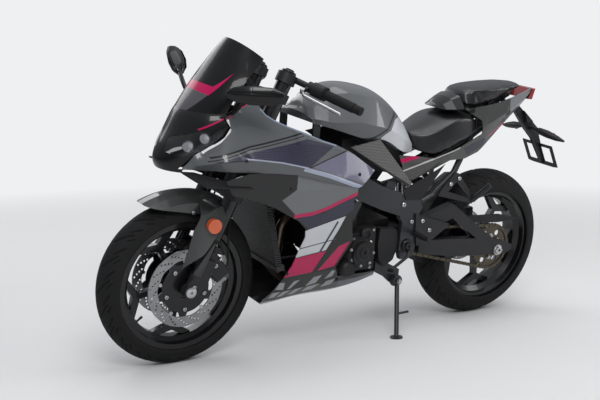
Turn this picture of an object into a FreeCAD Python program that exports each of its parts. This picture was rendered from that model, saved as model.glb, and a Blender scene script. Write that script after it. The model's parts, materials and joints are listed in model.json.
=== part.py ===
import FreeCAD, Part
import Sketcher
import math
import os
import types
from FreeCAD import Placement, Rotation, Vector

# A 17-inch sport bike, parked on its side stand.
# Bike frame: X forward, Y to the left, Z up, floor at 0, X = 0 half way between the axles.
# Every piece is modelled upright in that frame and then leaned over as one.

SIZES = [
    # alias, value in mm or degrees, meaning
    ("wheelbase", 1365.0, "axle to axle"),
    ("front_tyre_radius", 293.0, "110/70-17"),
    ("front_tyre_width", 112.0, "front section width"),
    ("rear_tyre_radius", 306.0, "150/60-17"),
    ("rear_tyre_width", 150.0, "rear section width"),
    ("bead_radius", 219.0, "17 inch bead seat"),
    ("flange_radius", 230.0, "rim flange"),
    ("front_rim_width", 96.0, "over the flanges"),
    ("rear_rim_width", 128.0, "over the flanges"),
    ("rim_wall", 7.0, "barrel wall"),
    ("spoke_fork_radius", 158.0, "where a spoke forks"),
    ("spoke_width", 21.0, "stem width"),
    ("spoke_depth", 24.0, "across the wheel"),
    ("hub_radius", 31.0, "hub tube"),
    ("axle_dia", 20.0, "both axles"),
    ("axle_bore_dia", 11.0, "hollow axles"),
    ("front_axle_length", 236.0, "over the ends"),
    ("rear_axle_length", 300.0, "over the ends"),
    ("running_gap", 0.05, "radial gap in a bearing"),
    ("seat_gap", 0.3, "gap between neighbours"),
    ("rake", 24.5, "steering axis from vertical"),
    ("fork_offset", 35.0, "steering axis to fork legs"),
    ("fork_half_track", 97.0, "bike centre to a fork leg"),
    ("fork_outer_dia", 54.0, "outer tube"),
    ("fork_slider_dia", 41.0, "inner tube"),
    ("fork_outer_foot", 195.0, "lower end of outer tube, from the axle"),
    ("fork_outer_top", 815.0, "upper end of outer tube, from the axle"),
    ("lower_clamp_level", 356.0, "from the axle, along the leg"),
    ("upper_clamp_level", 725.0, "from the axle, along the leg"),
    ("clamp_thickness", 30.0, "both clamps"),
    ("stem_dia", 30.0, "steering stem"),
    ("front_disc_radius", 139.0, "both front discs"),
    ("front_disc_inner", 103.0, "inner edge of the friction ring"),
    ("front_disc_side", 67.4, "bike centre to disc centre"),
    ("disc_thickness", 4.5, "friction rings"),
    ("rear_disc_radius", 110.0, "rear disc"),
    ("rear_disc_inner", 76.0, "inner edge of the friction ring"),
    ("rear_disc_side", 84.0, "bike centre to disc centre, right side"),
    ("pivot_x", -203.0, "swingarm pivot"),
    ("pivot_z", 377.0, "swingarm pivot"),
    ("pivot_dia", 20.0, "swingarm pivot bolt"),
    ("drive_x", -127.0, "gearbox sprocket"),
    ("drive_z", 398.0, "gearbox sprocket"),
    ("chain_pitch", 15.875, "520 chain"),
    ("chain_side", 88.0, "bike centre to chain centre"),
    ("chain_width", 14.0, "over the plates"),
    ("chain_height", 15.0, "plate height"),
    ("drive_teeth", 14.0, "gearbox sprocket"),
    ("wheel_teeth", 36.0, "rear sprocket"),
    ("panel_wall", 4.0, "fairing panels"),
    ("screen_wall", 3.0, "windscreen"),
    ("stand_pivot_x", -201.0, "side stand bolt"),
    ("stand_pivot_y", 110.0, "side stand bolt"),
    ("stand_pivot_z", 226.0, "side stand bolt"),
    ("stand_foot_x", -150.0, "side stand foot"),
    ("stand_foot_y", 204.0, "side stand foot"),
    ("stand_bar_dia", 18.0, "side stand leg"),
    ("lean", 8.8, "parked lean to the left"),
    ("grip_dia", 34.0, "rubber grip"),
    ("grip_length", 122.0, "rubber grip"),
    ("bar_dia", 22.0, "handlebar tube"),
    ("peg_dia", 22.0, "foot pegs"),
]

doc = FreeCAD.newDocument("SportBike")
sheet = doc.addObject("Spreadsheet::Sheet", "Sizes")
for row, (alias, value, meaning) in enumerate(SIZES, start=1):
    sheet.set(f"A{row}", meaning)
    sheet.set(f"B{row}", str(value))
    sheet.setAlias(f"B{row}", alias)
doc.recompute()


class Measure:
    """A length or an angle that carries the sheet formula it comes from."""

    def __init__(self, text, value):
        self.text = text
        self.value = value

    def joined(self, sign, other, value):
        return Measure(f"({self.text} {sign} {text_of(other)})", value)

    def __add__(self, other):
        return self.joined("+", other, self.value + value_of(other))

    def __sub__(self, other):
        return self.joined("-", other, self.value - value_of(other))

    def __mul__(self, other):
        return self.joined("*", other, self.value * value_of(other))

    def __truediv__(self, other):
        return self.joined("/", other, self.value / value_of(other))

    def __neg__(self):
        return Measure(f"(0 - {self.text})", -self.value)


def value_of(item):
    return item.value if isinstance(item, Measure) else float(item)


def text_of(item):
    return item.text if isinstance(item, Measure) else repr(float(item))


# S holds measures for bound properties, V the same sizes as plain numbers.
S = types.SimpleNamespace(**{alias: Measure("Sizes." + alias, float(sheet.get(alias))) for alias, _, _ in SIZES})
V = types.SimpleNamespace(**{alias: float(sheet.get(alias)) for alias, _, _ in SIZES})

# Derived places.
DRAWN_WHEELBASE = 1365.0


def along(x):
    """Where a drawn x goes when the wheelbase changes: the ends follow their wheels, the middle stretches."""
    shift = (V.wheelbase - DRAWN_WHEELBASE) / 2
    return x + shift * max(-1.0, min(1.0, x / 300.0))


def spot(x, y, z):
    return Vector(along(x), y, z)


def drawn(rows):
    """Rows that start with a drawn x."""
    return [(along(row[0]), *row[1:]) for row in rows]


FRONT_X = V.wheelbase / 2
REAR_X = -V.wheelbase / 2
RAKE = math.radians(V.rake)
LEAN = math.radians(V.lean)
UP_FORK = Vector(-math.sin(RAKE), 0, math.cos(RAKE))
FORK_FORWARD = Vector(math.cos(RAKE), 0, math.sin(RAKE))
FRONT_AXLE = Vector(FRONT_X, 0, V.front_tyre_radius)
REAR_AXLE = Vector(REAR_X, 0, V.rear_tyre_radius)
STEER_FOOT = FRONT_AXLE - FORK_FORWARD * V.fork_offset
FORK_TURN = Rotation(Vector(0, 1, 0), -V.rake)
PITCH_RADIUS_DRIVE = V.chain_pitch / (2 * math.sin(math.pi / V.drive_teeth))
PITCH_RADIUS_WHEEL = V.chain_pitch / (2 * math.sin(math.pi / V.wheel_teeth))

# Leaned over, the wheels roll a little up the flank of their round tyres.
REAR_CROWN = V.rear_tyre_width / 2
LIFT = REAR_CROWN * (1 - math.cos(LEAN))
STAND_SHIFT = Vector(38.0, -167.0, LIFT)
STAND = Placement(STAND_SHIFT, Rotation(Vector(1, 0, 0), -V.lean))

LEFT = Vector(0, 1, 0)
UP = Vector(0, 0, 1)
AHEAD = Vector(1, 0, 0)
PIECES = []


def keep(piece, label):
    """Names a finished sub-part and leans it over with the rest."""
    piece.Label = label
    piece.Placement = STAND * piece.Placement
    PIECES.append(piece)
    return piece


def bind(item, name, measure):
    setattr(item, name, value_of(measure))
    if isinstance(measure, Measure):
        item.setExpression(name, measure.text)


def new_name(stem):
    return stem.title().replace("_", "").replace(" ", "")


# Parametric primitives


def rod(name, start, direction, radius, length):
    item = doc.addObject("Part::Cylinder", new_name(name))
    bind(item, "Radius", radius)
    bind(item, "Height", length)
    item.Placement = Placement(start, Rotation(UP, direction))
    return item


def cross_rod(name, x, z, radius, length, middle_y=0.0):
    """A cylinder along Y, centred on middle_y."""
    start = Vector(x, middle_y - value_of(length) / 2, z)
    return rod(name, start, LEFT, radius, length)


def block(name, corner, lengths, turn=None):
    item = doc.addObject("Part::Box", new_name(name))
    for key, measure in zip(("Length", "Width", "Height"), lengths):
        bind(item, key, measure)
    item.Placement = Placement(corner, turn or Rotation())
    return item


def fused(name, items):
    item = doc.addObject("Part::MultiFuse", new_name(name))
    item.Shapes = items
    return item


def carved(name, base, tool):
    item = doc.addObject("Part::Cut", new_name(name))
    item.Base = base
    item.Tool = tool
    return item


def solid(name, shape):
    """A free-form piece made by Part's functions, kept straight away."""
    item = doc.addObject("Part::Feature", new_name(name))
    item.Shape = shape
    return keep(item, name)


# Sketched bodies


def plane_of(body, role):
    return next(item for item in body.Origin.OriginFeatures if item.Role == role)


def sketch_on(body, name, role, offset=0.0):
    sketch = body.newObject("Sketcher::SketchObject", name)
    sketch.AttachmentSupport = [(plane_of(body, role), "")]
    sketch.MapMode = "FlatFace"
    sketch.AttachmentOffset = Placement(Vector(0, 0, offset), Rotation())
    return sketch


def draw_outline(sketch, corners):
    """Closes a polygon whose corners are (u, v) measures tied to the sketch origin."""
    first = sketch.GeometryCount
    count = len(corners)
    points = [Vector(value_of(u), value_of(v), 0) for u, v in corners]
    for index in range(count):
        sketch.addGeometry(Part.LineSegment(points[index], points[(index + 1) % count]), False)
    for index in range(count):
        following = first + (index + 1) % count
        sketch.addConstraint(Sketcher.Constraint("Coincident", first + index, 2, following, 1))
    for index, (u, v) in enumerate(corners):
        for kind, measure in (("DistanceX", u), ("DistanceY", v)):
            number = sketch.addConstraint(
                Sketcher.Constraint(kind, -1, 1, first + index, 1, value_of(measure))
            )
            if isinstance(measure, Measure):
                sketch.setExpression(f"Constraints[{number}]", measure.text)


def draw_circle(sketch, u, v, radius):
    number = sketch.addGeometry(Part.Circle(Vector(value_of(u), value_of(v), 0), UP, value_of(radius)), False)
    ties = [
        ("DistanceX", (-1, 1, number, 3), u),
        ("DistanceY", (-1, 1, number, 3), v),
        ("Radius", (number,), radius),
    ]
    for kind, ends, measure in ties:
        tie = sketch.addConstraint(Sketcher.Constraint(kind, *ends, value_of(measure)))
        if isinstance(measure, Measure):
            sketch.setExpression(f"Constraints[{tie}]", measure.text)


def new_body(name):
    return doc.addObject("PartDesign::Body", new_name(name))


def revolve(body, name, corners):
    """Turns an outline of (radius, y) corners about the body's Y axis."""
    sketch = sketch_on(body, name + "Profile", "XY_Plane")
    draw_outline(sketch, corners)
    turn = body.newObject("PartDesign::Revolution", name)
    turn.Profile = sketch
    turn.ReferenceAxis = (sketch, ["V_Axis"])
    turn.Angle = 360
    return turn


def pad(body, name, role, corners, depth, offset=0.0, holes=(), middle=False, back=False):
    """A plate of the given outline; holes are (u, v, radius)."""
    sketch = sketch_on(body, name + "Outline", role, offset)
    if corners:
        draw_outline(sketch, corners)
    for u, v, radius in holes:
        draw_circle(sketch, u, v, radius)
    plate = body.newObject("PartDesign::Pad", name)
    plate.Profile = sketch
    bind(plate, "Length", depth)
    if middle:
        plate.SideType = "Symmetric"
    plate.Reversed = back
    return plate


def pocket(body, name, role, circles, corners=None, offset=0.0):
    """Cuts right through, both ways."""
    sketch = sketch_on(body, name + "Outline", role, offset)
    for u, v, radius in circles:
        draw_circle(sketch, u, v, radius)
    if corners:
        draw_outline(sketch, corners)
    cut = body.newObject("PartDesign::Pocket", name)
    cut.Profile = sketch
    cut.Type = "ThroughAll"
    cut.SideType = "Symmetric"
    return cut


def ring_pattern(body, name, features, count, sketch):
    pattern = body.newObject("PartDesign::PolarPattern", name)
    pattern.Originals = features
    pattern.Axis = (sketch, ["N_Axis"])
    pattern.Angle = 360
    pattern.Occurrences = count
    body.Tip = pattern
    return pattern


def mirrored(body, name, features):
    mirror = body.newObject("PartDesign::Mirrored", name)
    mirror.Originals = features
    mirror.MirrorPlane = (plane_of(body, "XZ_Plane"), [""])
    body.Tip = mirror
    return mirror


def side_plate(name, corners, inner_y, thickness, holes=(), both=True):
    """A plate in the XZ plane on the left, mirrored to the right when both."""
    body = new_body(name)
    plate = pad(body, new_name(name) + "Plate", "XZ_Plane", corners, thickness, -inner_y, holes, back=True)
    if both:
        mirrored(body, new_name(name) + "Pair", [plate])
    return body


# Free forms


def at_side(points, y):
    return [Vector(x, y, z) for x, z in points]


def closed_face(points):
    return Part.Face(Part.makePolygon(points + [points[0]]))


def slab(points, y_low, y_high):
    """A flat outline in XZ drawn out along Y."""
    return closed_face(at_side(points, y_low)).extrude(Vector(0, y_high - y_low, 0))


def flipped(shape):
    return shape.mirror(Vector(0, 0, 0), LEFT)


def pair(shape):
    return Part.makeCompound([shape, flipped(shape)])


def gather(shapes):
    return Part.makeCompound([piece for shape in shapes for piece in shape.Solids])


def joined(shapes):
    return shapes[0].fuse(shapes[1:]).removeSplitter()


def cleared(shape, neighbours):
    """The shape cut back to the seat gap from its neighbours."""
    gap = V.seat_gap
    for neighbour in neighbours:
        for step in (Vector(gap, 0, 0), LEFT * gap, LEFT * -gap):
            shape = shape.cut(neighbour.translated(step))
    return shape


def largest(shape):
    return max(shape.Solids, key=lambda piece: piece.Volume)


def reaching(shape, neighbour, direction):
    """The shape cut off at the seat gap before the neighbour that lies that way."""
    return largest(shape.cut(neighbour.translated(direction * -V.seat_gap)))


def tube(points, radius, bend):
    """A round bar along straight runs joined by tangent arcs."""
    edges = []
    start = points[0]
    for before, corner, after in zip(points, points[1:], points[2:]):
        into = (corner - before).normalize()
        out = (after - corner).normalize()
        half_turn = into.getAngle(out) / 2
        setback = bend * math.tan(half_turn)
        arc_start = corner - into * setback
        arc_end = corner + out * setback
        middle = (out - into).normalize()
        arc_middle = corner + middle * (bend / math.cos(half_turn) - bend)
        edges.append(Part.LineSegment(start, arc_start).toShape())
        edges.append(Part.Arc(arc_start, arc_middle, arc_end).toShape())
        start = arc_end
    edges.append(Part.LineSegment(start, points[-1]).toShape())
    path = Part.Wire(edges)
    circle = Part.Circle(points[0], (points[1] - points[0]), radius)
    return path.makePipeShell([Part.Wire(circle.toShape())], True, True)


def bar(start, end, radius):
    return Part.makeCylinder(radius, (end - start).Length, start, end - start)


def inward(points, wall):
    """The same open outline of (y, z) points moved inwards by the wall."""
    moved = []
    for index, (y, z) in enumerate(points):
        before = points[max(index - 1, 0)]
        after = points[min(index + 1, len(points) - 1)]
        along = Vector(0, after[0] - before[0], after[1] - before[1]).normalize()
        moved.append((y + along.z * wall, z - along.y * wall))
    return moved


def skin(stations, wall, ruled=False):
    """A panel of even wall lofted through stations of x and outer (y, z) points, top to bottom."""
    wires = []
    for x, outer in stations:
        inner = inward(outer, wall)
        ring = outer + inner[::-1]
        corners = [Vector(x, y, z) for y, z in ring]
        wires.append(Part.makePolygon(corners + [corners[0]]))
    return Part.makeLoft(wires, True, ruled)


def chassis_slab(outline, y_low, y_high):
    """A slab drawn in chassis places."""
    return slab(drawn(outline), y_low, y_high)


def trimmed(shape, outline, y_low=0.0, y_high=400.0):
    return shape.common(slab(outline, y_low, y_high))


def crowned_ring(x, top, shoulder, sides):
    """Closed section at x: an arc over the top, then straight sides given for the left."""
    left = [Vector(x, y, z) for y, z in [shoulder] + sides]
    right = [Vector(x, -y, z) for y, z in [shoulder] + sides]
    edges = [Part.Arc(right[0], Vector(x, 0, top), left[0]).toShape()]
    for one, two in zip(left, left[1:]):
        edges.append(Part.LineSegment(one, two).toShape())
    edges.append(Part.LineSegment(left[-1], right[-1]).toShape())
    for one, two in zip(right[::-1], right[::-1][1:]):
        edges.append(Part.LineSegment(one, two).toShape())
    return Part.Wire(edges)


# Wheels


def tyre(name, centre, radius, width, rim_width):
    """Round section, bored to the bead and relieved round the rim flanges."""
    half = width / 2
    casing = doc.addObject("Part::Torus", new_name(name) + "Casing")
    bind(casing, "Radius1", radius - half)
    bind(casing, "Radius2", half)
    casing.Placement = Placement(centre, Rotation(UP, LEFT))
    bead = cross_rod(name + "_bead", centre.x, centre.z, S.bead_radius + S.seat_gap, width + 40)
    tools = [bead]
    for side in (-1, 1):
        inner = value_of(rim_width) / 2 - V.rim_wall - V.seat_gap
        start = Vector(centre.x, side * inner, centre.z)
        tools.append(rod(f"{name}_flange_{side + 2}", start, LEFT * side, S.flange_radius + S.seat_gap, half))
    keep(carved(name, casing, fused(name + "_seat", tools)), name)


def rim(name, centre, width, phase, hub_half):
    """Cast wheel: rolled barrel, hub and five forked spokes."""
    body = new_body(name)
    half = width / 2
    well = S.bead_radius - 19
    revolve(body, new_name(name) + "Barrel", [
        (S.flange_radius, half),
        (S.flange_radius, half - S.rim_wall),
        (S.bead_radius, half - S.rim_wall),
        (S.bead_radius - 2, half - 22),
        (well, half / 3),
        (well, -half / 3),
        (S.bead_radius - 2, -half + 22),
        (S.bead_radius, -half + S.rim_wall),
        (S.flange_radius, -half + S.rim_wall),
        (S.flange_radius, -half),
        (S.bead_radius - 7, -half + 1),
        (S.bead_radius - 9, -half + 24),
        (well - S.rim_wall, -half / 3 - 2),
        (well - S.rim_wall, half / 3 + 2),
        (S.bead_radius - 9, half - 24),
        (S.bead_radius - 7, half - 1),
    ])
    bore = S.axle_dia / 2 + S.running_gap
    revolve(body, new_name(name) + "Hub", [
        (bore, -hub_half),
        (48, -hub_half),
        (48, -hub_half + 8),
        (S.hub_radius, -hub_half + 14),
        (S.hub_radius, hub_half - 14),
        (48, hub_half - 8),
        (48, hub_half),
        (bore, hub_half),
    ])
    fork = S.spoke_fork_radius
    reach = V.bead_radius - 22
    side_angle = math.radians(19)
    outer = (reach * math.cos(side_angle), reach * math.sin(side_angle))
    stem = S.spoke_width / 2
    arm = 15
    spoke = pad(body, new_name(name) + "Spoke", "XZ_Plane", [
        (V.hub_radius - 4, stem + 3),
        (fork - 12, stem - 1),
        (outer[0] - arm * 0.6, outer[1] + arm * 0.6),
        (outer[0] + arm * 0.5, outer[1] - arm * 0.4),
        (fork + 14, 0),
        (outer[0] + arm * 0.5, -outer[1] + arm * 0.4),
        (outer[0] - arm * 0.6, -outer[1] - arm * 0.6),
        (fork - 12, -stem + 1),
        (V.hub_radius - 4, -stem - 3),
    ], S.spoke_depth, middle=True)
    ring_pattern(body, new_name(name) + "Spokes", [spoke], 5, spoke.Profile[0])
    body.Placement = Placement(centre, Rotation(LEFT, -phase))
    return body


tyre("front_tyre", FRONT_AXLE, S.front_tyre_radius, S.front_tyre_width, S.front_rim_width)
tyre("rear_tyre", REAR_AXLE, S.rear_tyre_radius, S.rear_tyre_width, S.rear_rim_width)
front_casting = rim(
    "front_casting", FRONT_AXLE, S.front_rim_width, -11.5, S.front_disc_side - S.disc_thickness / 2)
rear_casting = rim("rear_casting", REAR_AXLE, S.rear_rim_width, -95.0, S.rear_disc_side - S.disc_thickness / 2)


def disc(name, centre, sides, radius, inner, thickness):
    """Drilled friction rings at the given places along Y."""
    body = new_body(name)
    rings = []
    for number, side in enumerate(sides):
        rings.append(pad(
            body, f"{new_name(name)}Ring{number}", "XZ_Plane", None, thickness,
            -(side + value_of(thickness) / 2), [(0, 0, radius), (0, 0, inner)],
        ))
    body.Placement = Placement(centre, Rotation())
    keep(body, name)


def carrier(name, centre, sides, outer, bolt_radius, thickness):
    """The arms that bolt a friction ring to the hub."""
    body = new_body(name)
    features = []
    arm_count = 5
    for number, side in enumerate(sides):
        offset = -(side + value_of(thickness) / 2)
        hub = pad(
            body, f"{new_name(name)}Hub{number}", "XZ_Plane", None, thickness, offset,
            [(0, 0, bolt_radius + 14), (0, 0, 34)],
        )
        arm = pad(body, f"{new_name(name)}Arm{number}", "XZ_Plane", [
            (bolt_radius, 22), (outer, 11), (outer, -11), (bolt_radius, -22),
        ], thickness, offset)
        features.append(arm)
        sketch = hub.Profile[0]
    ring_pattern(body, new_name(name) + "Arms", features, arm_count, sketch)
    body.Placement = Placement(centre, Rotation(LEFT, 14.0))
    return body


SPROCKET_WIDTH = 5.6
ARM_GAP = 1.2
FRONT_DISC_SIDES = (V.front_disc_side, -V.front_disc_side)
disc("front_discs", FRONT_AXLE, FRONT_DISC_SIDES, S.front_disc_radius, S.front_disc_inner, S.disc_thickness)
front_carriers = carrier(
    "front_carriers", FRONT_AXLE, FRONT_DISC_SIDES, S.front_disc_inner - ARM_GAP, 74.0, S.disc_thickness)
keep(fused("front_rim", [front_casting, front_carriers]), "front_rim")
disc("rear_disc", REAR_AXLE, (-V.rear_disc_side,), S.rear_disc_radius, S.rear_disc_inner, S.disc_thickness)
rear_carrier = carrier(
    "rear_carrier", REAR_AXLE, (-V.rear_disc_side,), S.rear_disc_inner - ARM_GAP, 50.0, S.disc_thickness)
hub_face = V.rear_disc_side - V.disc_thickness / 2 - 12
cush_drive = carved(
    "cush_drive",
    rod("cush_drive_drum", REAR_AXLE + LEFT * hub_face, LEFT, 54.0,
        S.chain_side - SPROCKET_WIDTH / 2 - S.seat_gap - hub_face),
    rod("cush_drive_bore", REAR_AXLE + LEFT * (hub_face - 1), LEFT, S.axle_dia / 2 + S.running_gap, 40.0))
keep(fused("rear_rim", [rear_casting, rear_carrier, cush_drive]), "rear_rim")

# Sprockets and chain


def sprocket_shape(pitch_radius, teeth, width, bore, centre):
    """Trapezoid teeth that stand between the chain's rollers."""
    root = pitch_radius - 6.5
    tip = pitch_radius + 3.5
    points = []
    for tooth in range(int(teeth)):
        for radius, share in ((root, -0.36), (tip, -0.10), (tip, 0.10), (root, 0.36)):
            angle = 2 * math.pi * (tooth + share) / teeth
            points.append(Vector(radius * math.cos(angle), 0, radius * math.sin(angle)))
    wheel = closed_face(points).extrude(Vector(0, width, 0))
    hole = Part.makeCylinder(bore, width * 2, Vector(0, -width / 2, 0), LEFT)
    wheel = wheel.cut(hole)
    wheel.translate(centre - Vector(0, width / 2, 0))
    return wheel


wheel_sprocket = sprocket_shape(
    PITCH_RADIUS_WHEEL, V.wheel_teeth, SPROCKET_WIDTH, 40.0, REAR_AXLE + LEFT * V.chain_side)
window_count = 6
for number in range(window_count):
    angle = 2 * math.pi * number / window_count
    middle = REAR_AXLE + Vector(63 * math.cos(angle), V.chain_side - SPROCKET_WIDTH, 63 * math.sin(angle))
    wheel_sprocket = wheel_sprocket.cut(Part.makeCylinder(12.0, 2 * SPROCKET_WIDTH, middle, LEFT))
solid("rear_sprocket", wheel_sprocket)
DRIVE_CENTRE = spot(V.drive_x, V.chain_side, V.drive_z)
drive_sprocket = sprocket_shape(PITCH_RADIUS_DRIVE, V.drive_teeth, SPROCKET_WIDTH, 11.9, DRIVE_CENTRE)


def loop_band(outer_extra, inner_extra, width):
    """The chain's closed path as a band between two belts round both sprockets."""
    def belt(extra):
        small = PITCH_RADIUS_DRIVE + extra
        large = PITCH_RADIUS_WHEEL + extra
        apart = DRIVE_CENTRE - REAR_AXLE
        length = math.hypot(apart.x, apart.z)
        tilt = math.atan2(apart.z, apart.x)
        open_angle = math.acos((large - small) / length)
        def point(centre, radius, angle):
            return Vector(centre.x + radius * math.cos(angle), 0, centre.z + radius * math.sin(angle))
        upper = tilt + open_angle
        lower = tilt - open_angle
        a = point(DRIVE_CENTRE, small, upper)
        b = point(REAR_AXLE, large, upper)
        c = point(REAR_AXLE, large, lower)
        d = point(DRIVE_CENTRE, small, lower)
        behind = point(REAR_AXLE, large, tilt + math.pi)
        ahead = point(DRIVE_CENTRE, small, tilt)
        edges = [
            Part.LineSegment(a, b).toShape(),
            Part.Arc(b, behind, c).toShape(),
            Part.LineSegment(c, d).toShape(),
            Part.Arc(d, ahead, a).toShape(),
        ]
        return Part.Face(Part.Wire(edges))
    ring = belt(outer_extra).cut(belt(inner_extra))
    return ring.extrude(Vector(0, width, 0))


plate_width = (V.chain_width - SPROCKET_WIDTH - 2.4) / 2
chain_parts = []
for side in (-1, 1):
    plate = loop_band(V.chain_height / 2, -V.chain_height / 2, plate_width)
    plate.translate(Vector(0, V.chain_side + side * (V.chain_width / 2 - plate_width / 2) - plate_width / 2, 0))
    chain_parts.append(plate)
roller_band = loop_band(V.chain_height / 2 - 1, V.chain_height / 2 - 3, V.chain_width - 2 * plate_width)
roller_band.translate(Vector(0, V.chain_side - V.chain_width / 2 + plate_width, 0))
solid("chain", joined([chain_parts[0], roller_band, chain_parts[1]]))

# Axles


def hollow_axle(name, centre, length):
    shaft = cross_rod(name + "_shaft", centre.x, centre.z, S.axle_dia / 2, length)
    bore = cross_rod(name + "_bore", centre.x, centre.z, S.axle_bore_dia / 2, length + 4)
    return carved(name, shaft, bore)


keep(hollow_axle("front_axle", FRONT_AXLE, S.front_axle_length), "front_axle")
keep(hollow_axle("rear_axle", REAR_AXLE, S.rear_axle_length), "rear_axle")

# Fork, clamps and stem


def leg_point(level, side, ahead=0.0):
    """A place on a fork leg, measured up the leg from the axle."""
    return FRONT_AXLE + UP_FORK * level + FORK_FORWARD * ahead + LEFT * (side * V.fork_half_track)


outer_tubes = []
for side in (1, -1):
    outer_tubes.append(rod(
        f"fork_outer_{side + 2}", leg_point(V.fork_outer_foot, side), UP_FORK,
        S.fork_outer_dia / 2, S.fork_outer_top - S.fork_outer_foot))
keep(fused("fork_uppers", outer_tubes), "fork_uppers")


def fork_lower(side):
    """The slider with the clamp round the axle and the caliper lugs behind it."""
    x, z = FRONT_AXLE.x, FRONT_AXLE.z
    lug = slab([
        (x - 24, z - 16), (x + 20, z - 16), (x + 14, z + 30), (x - 20, z + 62), (x - 62, z + 108),
        (x - 92, z + 96), (x - 74, z + 58), (x - 58, z + 14),
    ], LUG_INNER, LUG_OUTER)
    boss = Part.makeCylinder(25, 32, Vector(x, LUG_OUTER - 30, z), LEFT)
    slider = bar(leg_point(22, 1), leg_point(V.fork_outer_foot, 1), V.fork_slider_dia / 2)
    bore = Part.makeCylinder(V.axle_dia / 2 + V.running_gap, 80, Vector(x, 60, z), LEFT)
    whole = lug.fuse([boss, slider]).cut(bore)
    return whole if side > 0 else flipped(whole)


LUG_INNER = 98.0
LUG_OUTER = 114.0
solid("fork_lowers", gather([fork_lower(1), fork_lower(-1)]))


def yoke(name, level, stem_radius, overhang):
    """A yoke square to the steering axis that grips both legs and the stem."""
    body = new_body(name)
    leg = V.fork_half_track
    ahead = V.fork_offset
    reach = V.fork_outer_dia / 2 + 9
    grip = S.fork_outer_dia / 2 + S.running_gap
    pad(body, new_name(name) + "Plate", "XY_Plane", [
        (ahead + reach, leg - 20),
        (ahead + reach, leg + 14),
        (ahead + 10, leg + reach),
        (ahead - 16, leg + reach),
        (ahead - reach, leg + 10),
        (-overhang, 30),
        (-overhang, -30),
        (ahead - reach, -leg - 10),
        (ahead - 16, -leg - reach),
        (ahead + 10, -leg - reach),
        (ahead + reach, -leg - 14),
        (ahead + reach, -leg + 20),
        (ahead + 6, -40),
        (ahead + 6, 40),
    ], S.clamp_thickness, holes=[(ahead, leg, grip), (ahead, -leg, grip), (0, 0, stem_radius)], middle=True)
    body.Placement = Placement(STEER_FOOT + UP_FORK * value_of(level), FORK_TURN)
    return body


lower_yoke = yoke("lower_yoke", S.lower_clamp_level, S.stem_dia / 2 - 2, 30)
upper_yoke = yoke("upper_yoke", S.upper_clamp_level, S.stem_dia / 2 - 2, 34)
stem_start = V.lower_clamp_level - V.clamp_thickness / 2
stem = rod(
    "steering_stem", STEER_FOOT + UP_FORK * stem_start, UP_FORK, S.stem_dia / 2,
    S.upper_clamp_level - S.lower_clamp_level + S.clamp_thickness + 8)
keep(fused("fork_clamps", [lower_yoke, upper_yoke, stem]), "fork_clamps")

# Handlebars

RING_LEVEL = V.fork_outer_top - 23
RING_HALF = 17.0
GRIP_INNER = leg_point(RING_LEVEL, 1) + Vector(-69, 103, -29)
GRIP_OUTER = GRIP_INNER + Vector(-63, 145, -39)
BAR_AXIS = (GRIP_OUTER - GRIP_INNER).normalize()
BAR_ROOT = GRIP_INNER - BAR_AXIS * 116
bars, grips, switches, levers, ends = [], [], [], [], []
for side in (1, -1):
    def handed(point):
        return Vector(point.x, side * point.y, point.z)
    leg = leg_point(RING_LEVEL, side)
    ring = bar(leg - UP_FORK * RING_HALF, leg + UP_FORK * RING_HALF, V.fork_outer_dia / 2 + 8)
    ring = ring.cut(bar(leg - UP_FORK * 60, leg + UP_FORK * 60, V.fork_outer_dia / 2 + V.running_gap))
    handle = bar(handed(BAR_ROOT), handed(GRIP_OUTER - BAR_AXIS * 2), V.bar_dia / 2)
    handle = handle.cut(bar(leg - UP_FORK * 60, leg + UP_FORK * 60, V.fork_outer_dia / 2 + V.running_gap))
    bars.append(ring.fuse(handle))
    sleeve_start = GRIP_OUTER - BAR_AXIS * (V.grip_length + 18)
    sleeve = bar(handed(sleeve_start), handed(GRIP_OUTER - BAR_AXIS * 18), V.grip_dia / 2)
    flange = bar(handed(sleeve_start), handed(sleeve_start + BAR_AXIS * 6), V.grip_dia / 2 + 7)
    core = bar(handed(BAR_ROOT), handed(GRIP_OUTER + BAR_AXIS * 10), V.bar_dia / 2 + 0.1)
    grips.append(sleeve.fuse(flange).cut(core))
    weight = bar(handed(GRIP_OUTER - BAR_AXIS * 17), handed(GRIP_OUTER + BAR_AXIS * 12), 15.0).cut(
        bar(handed(GRIP_OUTER - BAR_AXIS * 40), handed(GRIP_OUTER - BAR_AXIS * 1.7), V.bar_dia / 2 + 0.1))
    ends.append(weight)
    box_start = sleeve_start - BAR_AXIS * 46
    box = bar(handed(box_start), handed(sleeve_start - BAR_AXIS * 1), 24.0)
    switches.append(box.cut(core))
    perch_start = box_start - BAR_AXIS * 20
    perch = bar(handed(perch_start), handed(box_start - BAR_AXIS * 1), 19.0).cut(core)
    switches.append(perch)
    pivot = perch_start + BAR_AXIS * 10 + Vector(32, 6, -6)
    arm_way = Vector(15, 3, -4).normalize()
    switches.append(bar(handed(pivot - arm_way * 16), handed(pivot), 8.0))
    barrel_middle = pivot + arm_way * (8.0 + V.seat_gap)
    barrel_way = arm_way.cross(BAR_AXIS).normalize() * 9
    barrel = bar(handed(barrel_middle - barrel_way), handed(barrel_middle + barrel_way), 8.0)
    knuckle = perch_start + BAR_AXIS * 30 + Vector(58, 16, -14)
    tip = GRIP_OUTER + Vector(62, -14, -14)
    lever_path = [handed(barrel_middle), handed(knuckle), handed(tip)]
    levers.append(barrel.fuse(tube(lever_path, 5.5, 14.0)))
solid("clip_on_bars", gather(bars))
solid("grips", gather(grips + ends))
solid("switch_housings", gather([joined(switches[0:3]), joined(switches[3:6])]))
solid("hand_levers", gather(levers))

# Front fender, reflectors, calipers


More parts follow.
